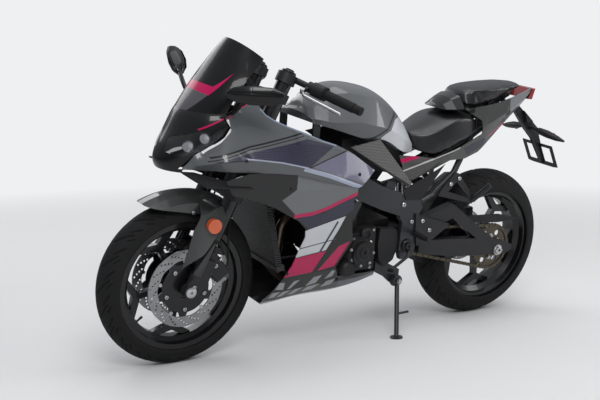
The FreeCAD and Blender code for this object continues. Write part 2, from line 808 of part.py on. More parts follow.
def ring_sector(section, centre, from_angle, to_angle):
    """Turns a closed (y, radius) outline about a wheel's axle, angles up from straight ahead."""
    points = [Vector(centre.x + r, y, centre.z) for y, r in section]
    face = closed_face(points)
    face.rotate(centre, LEFT, -from_angle)
    return face.revolve(centre, LEFT, -(to_angle - from_angle))


fender_outer = [(-68, 262), (-66, 300), (-46, 324), (-16, 333), (16, 333), (46, 324), (66, 300), (68, 262)]
fender_inner = [(65, 262), (63, 299), (44, 321), (15, 330), (-15, 330), (-44, 321), (-63, 299), (-65, 262)]
arch = ring_sector(fender_outer + fender_inner, FRONT_AXLE, 50.0, 128.0)
arch = arch.common(slab([
    (FRONT_X + 146, 588), (FRONT_X + 122, 582), (FRONT_X - 26, 556), (FRONT_X - 150, 540),
    (FRONT_X - 150, 700), (FRONT_X + 200, 700),
], -100, 100))
skirt_stations = [
    # x, then (y, z) from the arch down to the tip
    (FRONT_X - 110, [(42, 592), (112, 588), (131, 540)]),
    (FRONT_X - 82, [(42, 602), (114, 584), (132, 500)]),
    (FRONT_X - 42, [(42, 609), (110, 560), (131, 440)]),
    (FRONT_X - 2, [(42, 609), (100, 530), (128, 400)]),
    (FRONT_X + 46, [(66, 564), (92, 500), (124, 380)]),
]
skirt_outline = [(FRONT_X + ahead, z) for ahead, z in (
    (-106, 600), (-110, 552), (-68, 474), (-72, 448), (42, 386), (18, 440), (-6, 512), (-32, 560), (-42, 600),
)]
skirt = trimmed(skin(skirt_stations, 3.0), skirt_outline, 46, 200)
fender = joined([arch, skirt, flipped(skirt)])
for side in (1, -1):
    leg_clearance = bar(leg_point(150, side), leg_point(400, side), V.fork_outer_dia / 2 + V.seat_gap)
    fender = fender.cut(leg_clearance)
solid("front_fender", fender)
REFLECTOR = Vector(FRONT_X - 64, 0, 528)
reflector = largest(cleared(bar(REFLECTOR + LEFT * 124, REFLECTOR + LEFT * 142, 25.0), [skirt]))
solid("fender_reflectors", pair(reflector))


def caliper(side):
    """A two-part housing over the disc, hung on the fork foot's lugs."""
    outer_half = LUG_INNER - V.seat_gap - V.front_disc_side
    body = Part.makeBox(112, 28 + outer_half, 62, Vector(-56, -28, -31))
    body = body.makeFillet(7, body.Edges)
    slot = Part.makeBox(130, V.disc_thickness + 3, 68, Vector(-65, -V.disc_thickness / 2 - 1.5, -48))
    whole = body.cut(slot)
    whole.Placement = Placement(FRONT_AXLE + Vector(-98, V.front_disc_side, 76), Rotation(LEFT, -52.0))
    clearance = V.fork_slider_dia / 2 + 1.5
    whole = whole.cut(bar(leg_point(0, 1), leg_point(V.fork_outer_foot - 1, 1), clearance))
    whole = whole.cut(bar(leg_point(V.fork_outer_foot - 3, 1), leg_point(400, 1), V.fork_outer_dia / 2 + 1.5))
    return whole if side > 0 else flipped(whole)


solid("front_calipers", gather([caliper(1), caliper(-1)]))

# Frame

SPAR_END = -158.0
HANGER_INNER = 128.0


def box_beam(stations):
    """Loft through rectangular stations (x, z, y_inner, y_outer, height)."""
    wires = []
    for x, z, y_inner, y_outer, height in stations:
        corners = [
            Vector(x, y_inner, z - height / 2), Vector(x, y_outer, z - height / 2),
            Vector(x, y_outer, z + height / 2), Vector(x, y_inner, z + height / 2),
        ]
        wires.append(Part.makePolygon(corners + [corners[0]]))
    return Part.makeLoft(wires, True, True)


HEAD_MIDDLE = STEER_FOOT + UP_FORK * ((V.lower_clamp_level + V.upper_clamp_level) / 2)
head_half = (V.upper_clamp_level - V.lower_clamp_level - V.clamp_thickness) / 2 - 6
head_low = HEAD_MIDDLE - UP_FORK * head_half
head_high = HEAD_MIDDLE + UP_FORK * head_half
head_tube = bar(head_low, head_high, 30.0)
spar = box_beam([(HEAD_MIDDLE.x + 4, HEAD_MIDDLE.z + 42, 4, 34, 130)] + drawn([
    # x, z, y_inner, y_outer, height
    (330, 780, 60, 88, 120),
    (220, 720, 112, 138, 110),
    (80, 640, 128, 152, 100),
    (-60, 575, 126, 150, 88),
    (SPAR_END, 541, 120, 144, 90),
]))
hanger = chassis_slab([(130, 600), (132, 474), (112, 458), (50, 500), (20, 560)], HANGER_INNER, HANGER_INNER + 12)

tank_rings = [
    # x, top, shoulder (y, z), waist, hem
    (246, 886, (56, 882), (112, 872), (118, 860)),
    (200, 945, (68, 930), (136, 868), (134, 848)),
    (150, 975, (80, 950), (146, 862), (138, 834)),
    (80, 985, (88, 955), (152, 862), (141, 812)),
    (10, 976, (90, 942), (152, 850), (142, 797)),
    (-68, 952, (86, 915), (143, 830), (134, 786)),
    (-146, 900, (76, 868), (124, 795), (120, 745)),
    (-200, 846, (60, 822), (98, 772), (94, 728)),
    (-238, 792, (46, 780), (72, 752), (74, 720)),
]
tank = Part.makeLoft([
    crowned_ring(x, top, shoulder, [waist, hem]) for x, top, shoulder, waist, hem in drawn(tank_rings)
], True, False)
solid("fuel_tank", tank)

tank_post = reaching(chassis_slab([(212, 744), (240, 752), (240, 880), (212, 880)], 106, 116), tank, UP)
RAIL_FRONT = spot(-96, 104, 604)
rail_lug = chassis_slab([(-70, 560), (-134, 556), (-134, 626), (-96, 632)], 117 + V.seat_gap, 130)
left_side = [spar, hanger, tank_post, rail_lug]
frame_shape = joined([head_tube] + left_side + [flipped(piece) for piece in left_side])
frame_shape = frame_shape.cut(bar(head_low - UP_FORK * 20, head_high + UP_FORK * 20, V.stem_dia / 2 + 0.1))
solid("main_frame", frame_shape)

PIVOT = spot(V.pivot_x, 0, V.pivot_z)
plate_front = along(SPAR_END) - V.seat_gap
pivot_outline = [(plate_front, 578)] + drawn([
    (-252, 560), (-262, 520), (-238, 470), (-246, 372), (-236, 330), (-180, 322), (-168, 360), (-172, 470),
]) + [(plate_front, 490)]
PIVOT_PLATE_OUTER = 142.0
pivot_plates = side_plate("pivot_plate_pair", pivot_outline, 120, PIVOT_PLATE_OUTER - 120)
pivot_bolt = cross_rod("swingarm_pivot_bolt", PIVOT.x, PIVOT.z, S.pivot_dia / 2, 292.0)
keep(fused("pivot_plates", [pivot_plates, pivot_bolt]), "pivot_plates")

# Seats, tail and subframe

rider_rings = [
    # x, top, edge, lower edge
    (-241, 800, (46, 790), (54, 738)),
    (-300, 820, (98, 796), (112, 714)),
    (-360, 848, (116, 822), (126, 724)),
    (-420, 868, (118, 846), (128, 746)),
    (-480, 872, (112, 850), (120, 768)),
    (-530, 858, (96, 842), (104, 796)),
]
rider_seat = Part.makeLoft([
    crowned_ring(x, top, edge, [low]) for x, top, edge, low in drawn(rider_rings)
], True, False)
solid("rider_seat", rider_seat)
pillion_rings = [
    (-406, 950, (68, 945), (74, 930)),
    (-452, 964, (90, 950), (94, 896)),
    (-540, 974, (98, 952), (100, 902)),
    (-620, 978, (96, 954), (96, 912)),
    (-700, 980, (82, 958), (80, 930)),
    (-770, 976, (60, 962), (56, 948)),
    (-812, 966, (34, 958), (30, 953)),
]
pillion_seat = Part.makeLoft([
    crowned_ring(x, top, edge, [low]) for x, top, edge, low in drawn(pillion_rings)
], True, False)
solid("pillion_seat", pillion_seat)

tail_stations = [
    # x, then (y, z) top, middle, bottom
    (-130, [(132, 735), (140, 690), (136, 630)]),
    (-250, [(124, 722), (136, 690), (132, 630)]),
    (-380, [(132, 745), (134, 715), (128, 680)]),
    (-460, [(108, 890), (128, 780), (118, 680)]),
    (-560, [(108, 904), (120, 820), (104, 715)]),
    (-680, [(100, 928), (106, 870), (76, 800)]),
    (-780, [(80, 950), (84, 915), (52, 870)]),
    (-850, [(48, 962), (48, 940), (34, 915)]),
]
tail_outline = [
    (-135, 728), (-250, 715), (-306, 706), (-420, 738), (-545, 787), (-537, 840), (-455, 884), (-614, 904),
    (-789, 944), (-845, 952), (-820, 905), (-788, 883), (-726, 847), (-669, 807), (-599, 755), (-540, 714),
    (-468, 694), (-384, 694), (-193, 622), (-165, 640),
]
tail_side = trimmed(skin(drawn(tail_stations), V.panel_wall, ruled=True), drawn(tail_outline))
hump = chassis_slab([(-386, 876), (-399, 926), (-404, 924), (-448, 890), (-472, 890), (-472, 881), (-400, 876)], -88, 88)
bridge_strip = chassis_slab([(-458, 881), (-472, 881), (-472, 890), (-458, 890)], -107, 107)
solid("tail_fairing", joined([tail_side, flipped(tail_side), hump, bridge_strip]))

STRUT_SIDE = 111.7
STRUT_RADIUS = 12.0
rail = tube([RAIL_FRONT, spot(-480, 70, 742), spot(-740, 42, 876)], 13.0, 60.0)
strut = tube([
    spot(-259, 128, 543), spot(-330, STRUT_SIDE, 562), spot(-425, STRUT_SIDE, 640), spot(-534, 68, 772),
], STRUT_RADIUS, 30.0)
supports = [
    reaching(bar(spot(-180, 96, 636), spot(-180, 84, 750), 8.0), tank, UP),
    reaching(bar(spot(-300, 84, 676), spot(-300, 84, 750), 9.0), rider_seat, UP),
    reaching(bar(spot(-440, 74, 728), spot(-440, 74, 790), 9.0), rider_seat, UP),
    reaching(bar(spot(-560, 61, 784), spot(-560, 61, 925), 8.0), pillion_seat, UP),
    reaching(bar(spot(-700, 46, 856), spot(-700, 46, 950), 8.0), pillion_seat, UP),
    reaching(bar(spot(-300, 84, 684), spot(-300, 150, 684), 7.0), tail_side, LEFT),
    reaching(bar(spot(-600, 57, 804), spot(-600, 150, 804), 7.0), tail_side, LEFT),
]
rail_and_struts = [rail, strut] + supports
cross_ties = []
for end in (spot(-262, 90, 664), spot(-506, 67, 755), spot(-730, 43, 871)):
    cross_ties.append(bar(Vector(end.x, -end.y, end.z), end, 9.0))
solid("subframe", joined(rail_and_struts + [flipped(piece) for piece in rail_and_struts] + cross_ties))

undertray = chassis_slab([
    (-300, 646), (-506, 735.4), (-730, 850.8), (-795, 885.4), (-795, 890.4), (-730, 855.8), (-506, 740.4), (-300, 651),
], -44, 44)
solid("undertray", undertray)
lamp_block = chassis_slab([(-846, 948), (-858, 950), (-846, 906), (-822, 908)], -60, 60)
solid("tail_lamp", largest(cleared(lamp_block, [tail_side, flipped(tail_side)])))

bracket_arm = chassis_slab([
    (-790, 872), (-800, 896), (-960, 770), (-1048, 625), (-1036, 618), (-950, 730), (-890, 772)], -12, 12)
bracket_plate = chassis_slab([(-1000, 712), (-1052, 618), (-1046, 614), (-994, 708)], -85, 85)
solid("plate_bracket", joined([bracket_arm, bracket_plate]))
indicator = bar(spot(-918, 12 + V.seat_gap, 772), spot(-918, 80, 772), 8.0).fuse(Part.makeLoft([
    Part.Wire(Part.makeCircle(radius, spot(-918, y, 772), LEFT))
    for radius, y in ((12, 78), (22, 100), (18, 150), (6, 178))
], True, False))
solid("rear_indicators", pair(indicator))

# Engine

CASE_LEFT = 76.0
sump = chassis_slab([(-156, 324), (-150, 282), (-60, 256), (70, 256), (116, 300), (116, 324)], -84, CASE_LEFT)
crankcase = chassis_slab([(-158, 322), (116, 322), (132, 352), (132, 372), (96, 440), (-60, 470), (-158, 470)],
                  -140, CASE_LEFT)
crank_left = chassis_slab([(-60, 300), (94, 300), (122, 324), (126, 372), (92, 436), (-56, 462)], CASE_LEFT, 136)
barrel = chassis_slab([(6, 440), (104, 420), (176, 520), (96, 574), (20, 560)], -102, 102)
cylinder_head = chassis_slab([(96, 575), (178, 520), (236, 600), (168, 668), (70, 655)], -106, 106)
output_shaft = bar(DRIVE_CENTRE - LEFT * 18, DRIVE_CENTRE + LEFT * 9, 12.0)
mount_reach = HANGER_INNER - V.seat_gap
engine_mounts = [bar(spot(x, -mount_reach, z), spot(x, mount_reach, z), 15.0) for x, z in ((112, 484), (66, 524))]
solid("engine_block", joined(
    [crankcase, sump, crank_left, barrel, cylinder_head, output_shaft, drive_sprocket] + engine_mounts))
COVER_SEAT_LEFT = 136 + V.seat_gap
COVER_SEAT_RIGHT = -140 - V.seat_gap
alternator = Part.makeCone(66, 58, 30, spot(22, COVER_SEAT_LEFT, 372), LEFT).fuse(
    Part.makeCylinder(43, 12, spot(22, COVER_SEAT_LEFT + 30, 372), LEFT))
clutch = Part.makeCone(86, 76, 30, spot(-20, COVER_SEAT_RIGHT, 362), LEFT * -1)
cover_sheet = chassis_slab([
    (-78, 452), (-152, 444), (-165, 410), (-165, 360), (-150, 322), (-110, 298), (-84, 330), (-74, 390),
], 100, 134)
cover_posts = [bar(spot(x, CASE_LEFT + V.seat_gap, z), spot(x, 102, z), 6.0) for x, z in ((-88, 440), (-96, 312))]
solid("engine_covers", gather([alternator, clutch, joined([cover_sheet] + cover_posts)]))

# Pillion hangers

HANGER_FACE = STRUT_SIDE + STRUT_RADIUS + V.seat_gap
pillion_plate = chassis_slab(
    [(-352, 574), (-346, 556), (-520, 512), (-536, 530), (-436, 640), (-418, 644)], HANGER_FACE, HANGER_FACE + 7)
pillion_plate = pillion_plate.cut(chassis_slab([(-392, 570), (-500, 536), (-430, 606)], 110, 140))
pillion_peg = bar(spot(-520, HANGER_FACE + 7, 526), spot(-560, 180, 596), 11.0)
solid("pillion_pegs", pair(pillion_plate.fuse(pillion_peg)))

# Exhaust

pipes = []
for side in (-1, 1):
    pipes.append(tube([
        spot(209, side * 46, 559), spot(304, side * 46, 480), spot(316, side * 44, 330),
        spot(232, side * 30, 231), spot(20, side * 22, 231),
    ], 18.0, 52.0))
collector = chassis_slab([
    (30, 212), (30, 249), (-58, 251), (-150, 275), (-150, 246), (-110, 240), (-60, 226), (0, 214)], -42, 42)
link_pipe = tube([
    spot(-130, -18, 261), spot(-206, -34, 256), spot(-286, -150, 250), spot(-330, -196, 268),
], 14.0, 30.0)
silencer = Part.makeLoft([
    Part.Wire(Part.makeCircle(r, Vector(0, 0, level), UP)) for r, level in ((30, 0), (49, 60), (51, 250), (43, 310))
], True, False)
silencer.Placement = Placement(spot(-312, -190, 256), Rotation(UP, Vector(-0.86, -0.07, 0.5)))
SILENCER_STRAP = -141.3
strap_face = -HANGER_FACE - 7 - V.seat_gap
strap = [
    chassis_slab([(-440, 556), (-486, 556), (-486, 376), (-440, 376)], SILENCER_STRAP - 5, SILENCER_STRAP),
    bar(spot(-463, strap_face, 556 - 20), spot(-463, SILENCER_STRAP - 2, 536), 9.0),
    bar(spot(-463, SILENCER_STRAP - 2, 388), spot(-463, -180, 388), 10.0),
]
solid("exhaust_system", joined(pipes + [collector, link_pipe, silencer] + strap))

# Radiator

core = Part.makeBox(24, 290, 214, Vector(0, -145, 0))
core_cap = Part.makeBox(30, 310, 20, Vector(-3, -155, 214))
core_sole = Part.makeBox(30, 310, 20, Vector(-3, -155, -20))
radiator = joined([core, core_cap, core_sole])
radiator.Placement = Placement(spot(350, 0, 366), Rotation(LEFT, 14.0))
radiator_stay = bar(spot(132 + V.seat_gap, 70, 362), spot(356, 70, 360), 4.5)
solid("radiator", joined([radiator, radiator_stay, flipped(radiator_stay)]))

# Swingarm

ARM_INNER = 101.0
arm_outline = [
    (-178, 402), (-262, 470), (-420, 520), (-452, 498), (-648, 358), (-728, 334), (-756, 322), (-758, 300),
    (-726, 284), (-480, 300), (-330, 322), (-240, 342), (-180, 352),
]
outer_outline = [
    (-270, 336), (-262, 470), (-420, 520), (-452, 498), (-648, 358), (-728, 334), (-756, 322), (-758, 300),
    (-726, 284), (-480, 300), (-330, 322),
]
arm_window = [(-300, 384), (-300, 420), (-424, 462), (-560, 366), (-420, 378)]
arm_plate = chassis_slab(arm_outline, ARM_INNER, 118).fuse(chassis_slab(outer_outline, 117, 138)).cut(chassis_slab(arm_window, 90, 150))
pivot_tube = Part.makeCylinder(24, 204, PIVOT - LEFT * 102, LEFT)
bridge = chassis_slab([(-262, 396), (-262, 450), (-318, 450), (-330, 400)], -102, 102)
web = chassis_slab([(-200, 392), (-200, 362), (-300, 400), (-300, 436)], -72, 72)
swing = joined([arm_plate, flipped(arm_plate), pivot_tube, bridge, web])
swing = swing.cut(Part.makeCylinder(V.pivot_dia / 2 + V.running_gap, 400, PIVOT - LEFT * 200, LEFT))
swing = swing.cut(Part.makeCylinder(V.axle_dia / 2 + V.running_gap, 400, REAR_AXLE - LEFT * 200, LEFT))
swing = swing.cut(chassis_slab([(-240, 300), (-340, 300), (-340, 500), (-240, 500)], 78, 98))
solid("swingarm", swing)

guard = chassis_slab([(-540, 452), (-700, 446), (-830, 414), (-700, 410), (-560, 420)],
              ARM_INNER - V.seat_gap - 3, ARM_INNER - V.seat_gap)
HUGGER_RADIUS = V.rear_tyre_radius + 20
hugger_outer = [(-62, HUGGER_RADIUS), (-30, HUGGER_RADIUS + 10), (30, HUGGER_RADIUS + 10), (62, HUGGER_RADIUS)]
hugger_inner = [(60, HUGGER_RADIUS - 3), (29, HUGGER_RADIUS + 7), (-29, HUGGER_RADIUS + 7), (-60, HUGGER_RADIUS - 3)]
hugger = ring_sector(hugger_outer + hugger_inner, REAR_AXLE, 62.0, -8.0)
tab_root = REAR_AXLE + Vector(math.cos(math.radians(30.8)), 0, math.sin(math.radians(30.8))) * HUGGER_RADIUS
hugger_tab = bar(tab_root + LEFT * 58, tab_root + LEFT * (ARM_INNER - V.seat_gap), 6.0)
solid("rear_hugger", gather([joined([hugger, hugger_tab, flipped(hugger_tab)]), guard]))

shock_eye = Part.makeCylinder(14.0, 26.0, spot(-290, 0, 450 + V.seat_gap), UP)
shock_low = spot(-290, 0, 466)
shock_way = (spot(-262, 0, 664) - shock_low).normalize()
shock_high = spot(-262, 0, 664) - shock_way * (9 + V.seat_gap)
spring = bar(shock_low + shock_way * 22, shock_high - shock_way * 30, 30.0)
solid("rear_shock", joined([shock_eye, bar(shock_low, shock_high, 12.0), spring]))

# Fairing

flank_stations = [
    # x, then (y, z): top edge, upper side, band, ridge, lip
    (745, [(96, 735), (100, 731), (103, 727), (105, 722), (101, 714)]),
    (690, [(118, 790), (130, 768), (137, 757), (144, 742), (134, 724)]),
    (640, [(138, 850), (160, 800), (176, 777), (190, 758), (174, 726)]),
    (590, [(146, 930), (168, 860), (196, 790), (214, 768), (200, 726)]),
    (520, [(146, 960), (176, 870), (208, 800), (234, 772), (214, 722)]),
    (450, [(164, 905), (190, 850), (216, 800), (241, 764), (226, 716)]),
    (360, [(176, 870), (196, 840), (214, 810), (242, 744), (228, 696)]),
    (240, [(170, 840), (184, 820), (204, 795), (236, 704), (224, 664)]),
    (130, [(166, 800), (178, 780), (196, 765), (228, 662), (216, 628)]),
    (40, [(160, 760), (168, 740), (184, 716), (214, 640), (204, 610)]),
    (-10, [(156, 740), (162, 715), (176, 700), (200, 630), (190, 600)]),
]
flank_hem = [(100, 644), (240, 676), (350, 708), (450, 720), (545, 722)]
flank_outline = drawn([
    (738, 720), (700, 770), (640, 812), (612, 836), (592, 866), (604, 890), (580, 915), (500, 958), (482, 926),
    (464, 906), (430, 886), (383, 866), (316, 842), (250, 815), (190, 796), (133, 770), (8, 692),
] + flank_hem + [(640, 727), (700, 721)])
flank = trimmed(skin(drawn(flank_stations), V.panel_wall), flank_outline)
flanks = [flank, flipped(flank)]
solid("upper_fairings", pair(flank))


def side_curve(inset, floor):
    """Outer (y, z) points of the lower side panel, from the top to the middle of the belly."""
    upper = [(222, 734), (222, 650), (209, 590), (193, 500), (173, 410), (149, 320)]
    lower = [(118, 0.5), (86, 0.2), (40, 0.0), (-4, 0.0)]
    points = upper + [(y, floor + (320 - floor) * share) for y, share in lower]
    return [(y - inset * max(0.0, min(1.0, y / 120)), z) for y, z in points]


lower_stations = [(x, side_curve(inset, floor)) for x, inset, floor in (
    # x, inset, floor
    (640, 6, 180), (540, 2, 180), (430, 0, 180), (340, 0, 181), (263, 0, 190), (132, 2, 196), (0, 6, 204),
    (-60, 10, 217), (-150, 18, 240))]
lower_outline = drawn([(628, 702)] + [(x, z - 0.6) for x, z in flank_hem[::-1]] + [
    (96, 612), (104, 556), (88, 480),
    (73, 434), (122, 332), (95, 286), (-92, 277), (-100, 258), (-130, 232), (-128, 190), (250, 160), (350, 160),
    (378, 198), (388, 222), (341, 308), (316, 360), (302, 416), (286, 470), (292, 502), (326, 535),
    (436, 597), (535, 634), (600, 652),
])
lower_side = trimmed(skin(drawn(lower_stations), V.panel_wall), lower_outline)
solid("lower_fairings", joined([lower_side, flipped(lower_side)]))

nose_levels = [
    # z, centre x, edge x, edge y
    (905, 703, 596, 136),
    (865, 725, 592, 152),
    (830, 742, 604, 152),
    (790, 764, 644, 140),
    (755, 777, 690, 118),
    (733, 781, 716, 102),
    (708, 773, 726, 92),
]


def level_ring(z, centre_x, edge_x, edge_y, wall):
    """A crescent of even wall seen from above."""
    outer = Part.Arc(spot(edge_x, edge_y, z), spot(centre_x, 0, z), spot(edge_x, -edge_y, z))
    inner = Part.Arc(spot(edge_x, -edge_y + wall, z), spot(centre_x - wall, 0, z), spot(edge_x, edge_y - wall, z))
    ends = [
        Part.LineSegment(spot(edge_x, -edge_y, z), spot(edge_x, -edge_y + wall, z)),
        Part.LineSegment(spot(edge_x, edge_y - wall, z), spot(edge_x, edge_y, z)),
    ]
    return Part.Wire([outer.toShape(), ends[0].toShape(), inner.toShape(), ends[1].toShape()])


def without_flank(shape):
    """Cut away where the upper side panels cover it, seen from the side."""
    cover = slab(flank_outline, 30, 260)
    for step in (Vector(), AHEAD * V.seat_gap, UP * -V.seat_gap):
        tool = cover.translated(step)
        shape = shape.cut(tool).cut(flipped(tool))
    return shape


nose_shell = Part.makeLoft([level_ring(*row, V.panel_wall) for row in nose_levels], True, False)
lamp_outline = [
    (770, 772), (758, 800), (738, 824), (715, 834), (663, 856), (606, 888), (596, 866), (614, 838), (642, 814),
    (686, 783), (736, 759),
]
lamp_slab = chassis_slab(lamp_outline, 30, 220)
nose = largest(without_flank(nose_shell.cut(lamp_slab).cut(flipped(lamp_slab))))
solid("nose_fairing", nose)
lamp_lens = nose_shell.common(chassis_slab([(x + (690 - x) * 0.012, z + (815 - z) * 0.012) for x, z in lamp_outline], 31, 220))
solid("headlamps", pair(largest(without_flank(lamp_lens))))

screen_rings = [
    # centre (x, z), edge (x, y, z)
    ((703, 905 + V.seat_gap), (597, 135, 905 + V.seat_gap)),
    ((660, 968), (560, 142, 975)),
    ((626, 1016), (522, 138, 1022)),
    ((584, 1076), (482, 124, 1056)),
    ((533, 1139), (450, 104, 1081)),
]


def screen_ring(centre, edge, wall):
    x, z = along(centre[0]), centre[1]
    edge_x, edge_y, edge_z = along(edge[0]), edge[1], edge[2]
    back = Vector(x - edge_x, 0, z - edge_z).normalize() * -wall
    outer = Part.Arc(Vector(edge_x, edge_y, edge_z), Vector(x, 0, z), Vector(edge_x, -edge_y, edge_z))
    inner = Part.Arc(
        Vector(edge_x, -edge_y + wall, edge_z), Vector(x, 0, z) + back, Vector(edge_x, edge_y - wall, edge_z))
    one = Part.LineSegment(Vector(edge_x, -edge_y, edge_z), Vector(edge_x, -edge_y + wall, edge_z))
    two = Part.LineSegment(Vector(edge_x, edge_y - wall, edge_z), Vector(edge_x, edge_y, edge_z))
    return Part.Wire([outer.toShape(), one.toShape(), inner.toShape(), two.toShape()])


solid("windscreen", Part.makeLoft([screen_ring(c, e, V.screen_wall) for c, e in screen_rings], True, False))

winglet_sections = []
for y, front, rear, z_front, z_rear in (
        (106, 736, 690, 716, 711), (170, 720, 600, 703, 690), (228, 702, 530, 692, 676)):
    corners = [spot(front, y, z_front), spot(rear, y, z_rear), spot(rear, y, z_rear - 5), spot(front, y, z_front - 5)]
    winglet_sections.append(Part.makePolygon(corners + [corners[0]]))
winglet = largest(cleared(Part.makeLoft(winglet_sections, True, True), [lower_side, flank]))
solid("winglets", pair(winglet))

# Mirrors, instruments and the stay that carries them

mirrors = []
for side, turn, height in ((1, 75.0, 1000), (-1, 15.0, 1018)):
    root = spot(584, 140, 906)
    elbow = spot(575, 290, height - 15)
    stalk = largest(cleared(tube([root, spot(582, 220, 950), elbow], 8.0, 60.0), [flank]))
    shell = Part.makeSphere(1.0)
    matrix = FreeCAD.Matrix()
    matrix.scale(20, 66, 40)
    shell = shell.transformGeometry(matrix)
    shell.Placement = Placement(spot(568, 335, height), Rotation(AHEAD, 90 - turn))
    whole = stalk.fuse(shell)
    mirrors.append(whole if side > 0 else flipped(whole))
solid("mirrors", gather(mirrors))

DASH = spot(486, 0, 1002)
DASH_TURN = Rotation(LEFT, -28.0)
DASH_WAY = DASH_TURN.multVec(AHEAD)
dash = Part.makeBox(24, 150, 84, Vector(-12, -75, -42))
dash = dash.makeFillet(8, dash.Edges)
dash.Placement = Placement(DASH, DASH_TURN)
solid("instrument_panel", dash)

STAY_CROSS = spot(575, 0, 878)
head_front = STEER_FOOT + UP_FORK * 600
stay_beam = bar(head_front, STAY_CROSS - UP * 4, 13.0).cut(
    bar(head_low - UP_FORK * 40, head_high + UP_FORK * 40, 30.0 + V.seat_gap))
stay_beam = largest(cleared(stay_beam, [frame_shape]))
nose_beam = reaching(bar(STAY_CROSS - UP * 4, spot(760, 0, 878), 10.0), nose, AHEAD)
cross_half = reaching(bar(STAY_CROSS, STAY_CROSS + LEFT * 190, 8.0), flank, LEFT)
dash_seat = DASH + DASH_WAY * (12 + V.seat_gap)
dash_arm = tube([dash_seat, dash_seat + DASH_WAY * 44, STAY_CROSS], 7.0, 14.0)
solid("fairing_stay", joined([stay_beam, nose_beam, cross_half, flipped(cross_half), dash_arm]))

# Foot controls

REARSET_INNER = PIVOT_PLATE_OUTER + V.seat_gap
hanger_plate = [(-228, 500), (-262, 488), (-400, 446), (-392, 436), (-300, 376), (-246, 372), (-236, 420)]
peg = bar(spot(-237, REARSET_INNER + 5, 420), spot(-226, 245, 424), V.peg_dia / 2)
foot_plate = joined([chassis_slab(hanger_plate, REARSET_INNER, REARSET_INNER + 8), peg])


def foot_lever(knee, toe, reach):
    """A pedal on a bush that turns beside the pivot plate."""
    bush = bar(spot(-208, REARSET_INNER, 356), spot(-208, REARSET_INNER + 20, 356), 9.0)
    path = [spot(-208, 156, 356), knee, toe]
    return joined([bush, tube(path, 6.0, 14.0), bar(toe - LEFT * 4, toe + LEFT * reach + UP * 5, 8.0)])


gear_lever = foot_lever(spot(-190, 170, 340), spot(-100, 186, 300), 30)
brake_lever = flipped(foot_lever(spot(-190, 170, 342), spot(-110, 186, 310), 28))
solid("rearsets", gather([foot_plate, flipped(foot_plate), gear_lever, brake_lever]))

# Rear caliper

rear_caliper = Part.makeBox(84, 44, 48, Vector(-42, -22, -24))
rear_caliper = rear_caliper.makeFillet(6, rear_caliper.Edges)
rear_caliper = rear_caliper.cut(Part.makeBox(100, V.disc_thickness + 3, 54, Vector(-50, -V.disc_thickness / 2 - 1.5, -38)))
rear_caliper.Placement = Placement(REAR_AXLE + Vector(10, -V.rear_disc_side, 98), Rotation(LEFT, 4.0))
caliper_stay = slab([
    (REAR_X - 16, REAR_AXLE.z + 14), (REAR_X + 16, REAR_AXLE.z + 14), (REAR_X + 36, REAR_AXLE.z + 86),
    (REAR_X - 16, REAR_AXLE.z + 86),
], -ARM_INNER + V.seat_gap, -94)
solid("rear_caliper", joined([rear_caliper, caliper_stay]))

# Side stand

STAND_PIVOT = spot(V.stand_pivot_x, V.stand_pivot_y, V.stand_pivot_z)
foot_z = V.stand_foot_y * math.tan(LEAN) - LIFT / math.cos(LEAN)
STAND_FOOT = spot(V.stand_foot_x, V.stand_foot_y, foot_z)
STAND_AXIS = Vector(0, 0.904, 0.427)
floor_up = Vector(0, math.sin(-LEAN), math.cos(LEAN))
sole = bar(STAND_FOOT, STAND_FOOT + floor_up * 6, 24.0)
ankle = STAND_FOOT + floor_up * 4.5
leg_way = (ankle - STAND_PIVOT).normalize()
leg = bar(STAND_PIVOT + leg_way * 20, ankle, V.stand_bar_dia / 2)
eye = bar(STAND_PIVOT - STAND_AXIS * 8, STAND_PIVOT + STAND_AXIS * 8, 19.0)
tang_root = STAND_PIVOT + (ankle - STAND_PIVOT) * 0.6
tang = bar(tang_root, tang_root + Vector(-46, 12, 8), 4.5)
stand = joined([sole, leg, eye, tang])
stand = stand.cut(bar(STAND_PIVOT - STAND_AXIS * 30, STAND_PIVOT + STAND_AXIS * 30, 6.0 + V.running_gap))
solid("side_stand", stand)
bolt = bar(STAND_PIVOT - STAND_AXIS * 30, STAND_PIVOT + STAND_AXIS * 14, 6.0)
cheek = bar(STAND_PIVOT - STAND_AXIS * 22, STAND_PIVOT - STAND_AXIS * 9, 21.0)
lug = chassis_slab([
    (-222, 262), (-150, 300), (-104, 300), (-104, 264), (-150, 240), (-184, 211), (-222, 216),
], CASE_LEFT + V.seat_gap, 90)
solid("stand_bracket", joined([bolt, cheek, lug]))

# Check and write

doc.recompute()
os.makedirs("parts", exist_ok=True)
faults = []
for item in doc.Objects:
    if "Invalid" in item.State or "Error" in item.State:
        faults.append(f"{item.Label}: {item.State}")
for piece in PIECES:
    if piece.Shape.isNull() or not piece.Shape.isValid():
        faults.append(f"{piece.Label}: bad shape")
if faults:
    raise RuntimeError("; ".join(faults))
for piece in PIECES:
    piece.Shape.exportStep(os.path.join("parts", piece.Label + ".step"))
print(len(PIECES), "sub-parts")
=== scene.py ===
import json
import math
from functools import cached_property, reduce

import bmesh
import bpy
from mathutils import Matrix, Vector
from mathutils.bvhtree import BVHTree


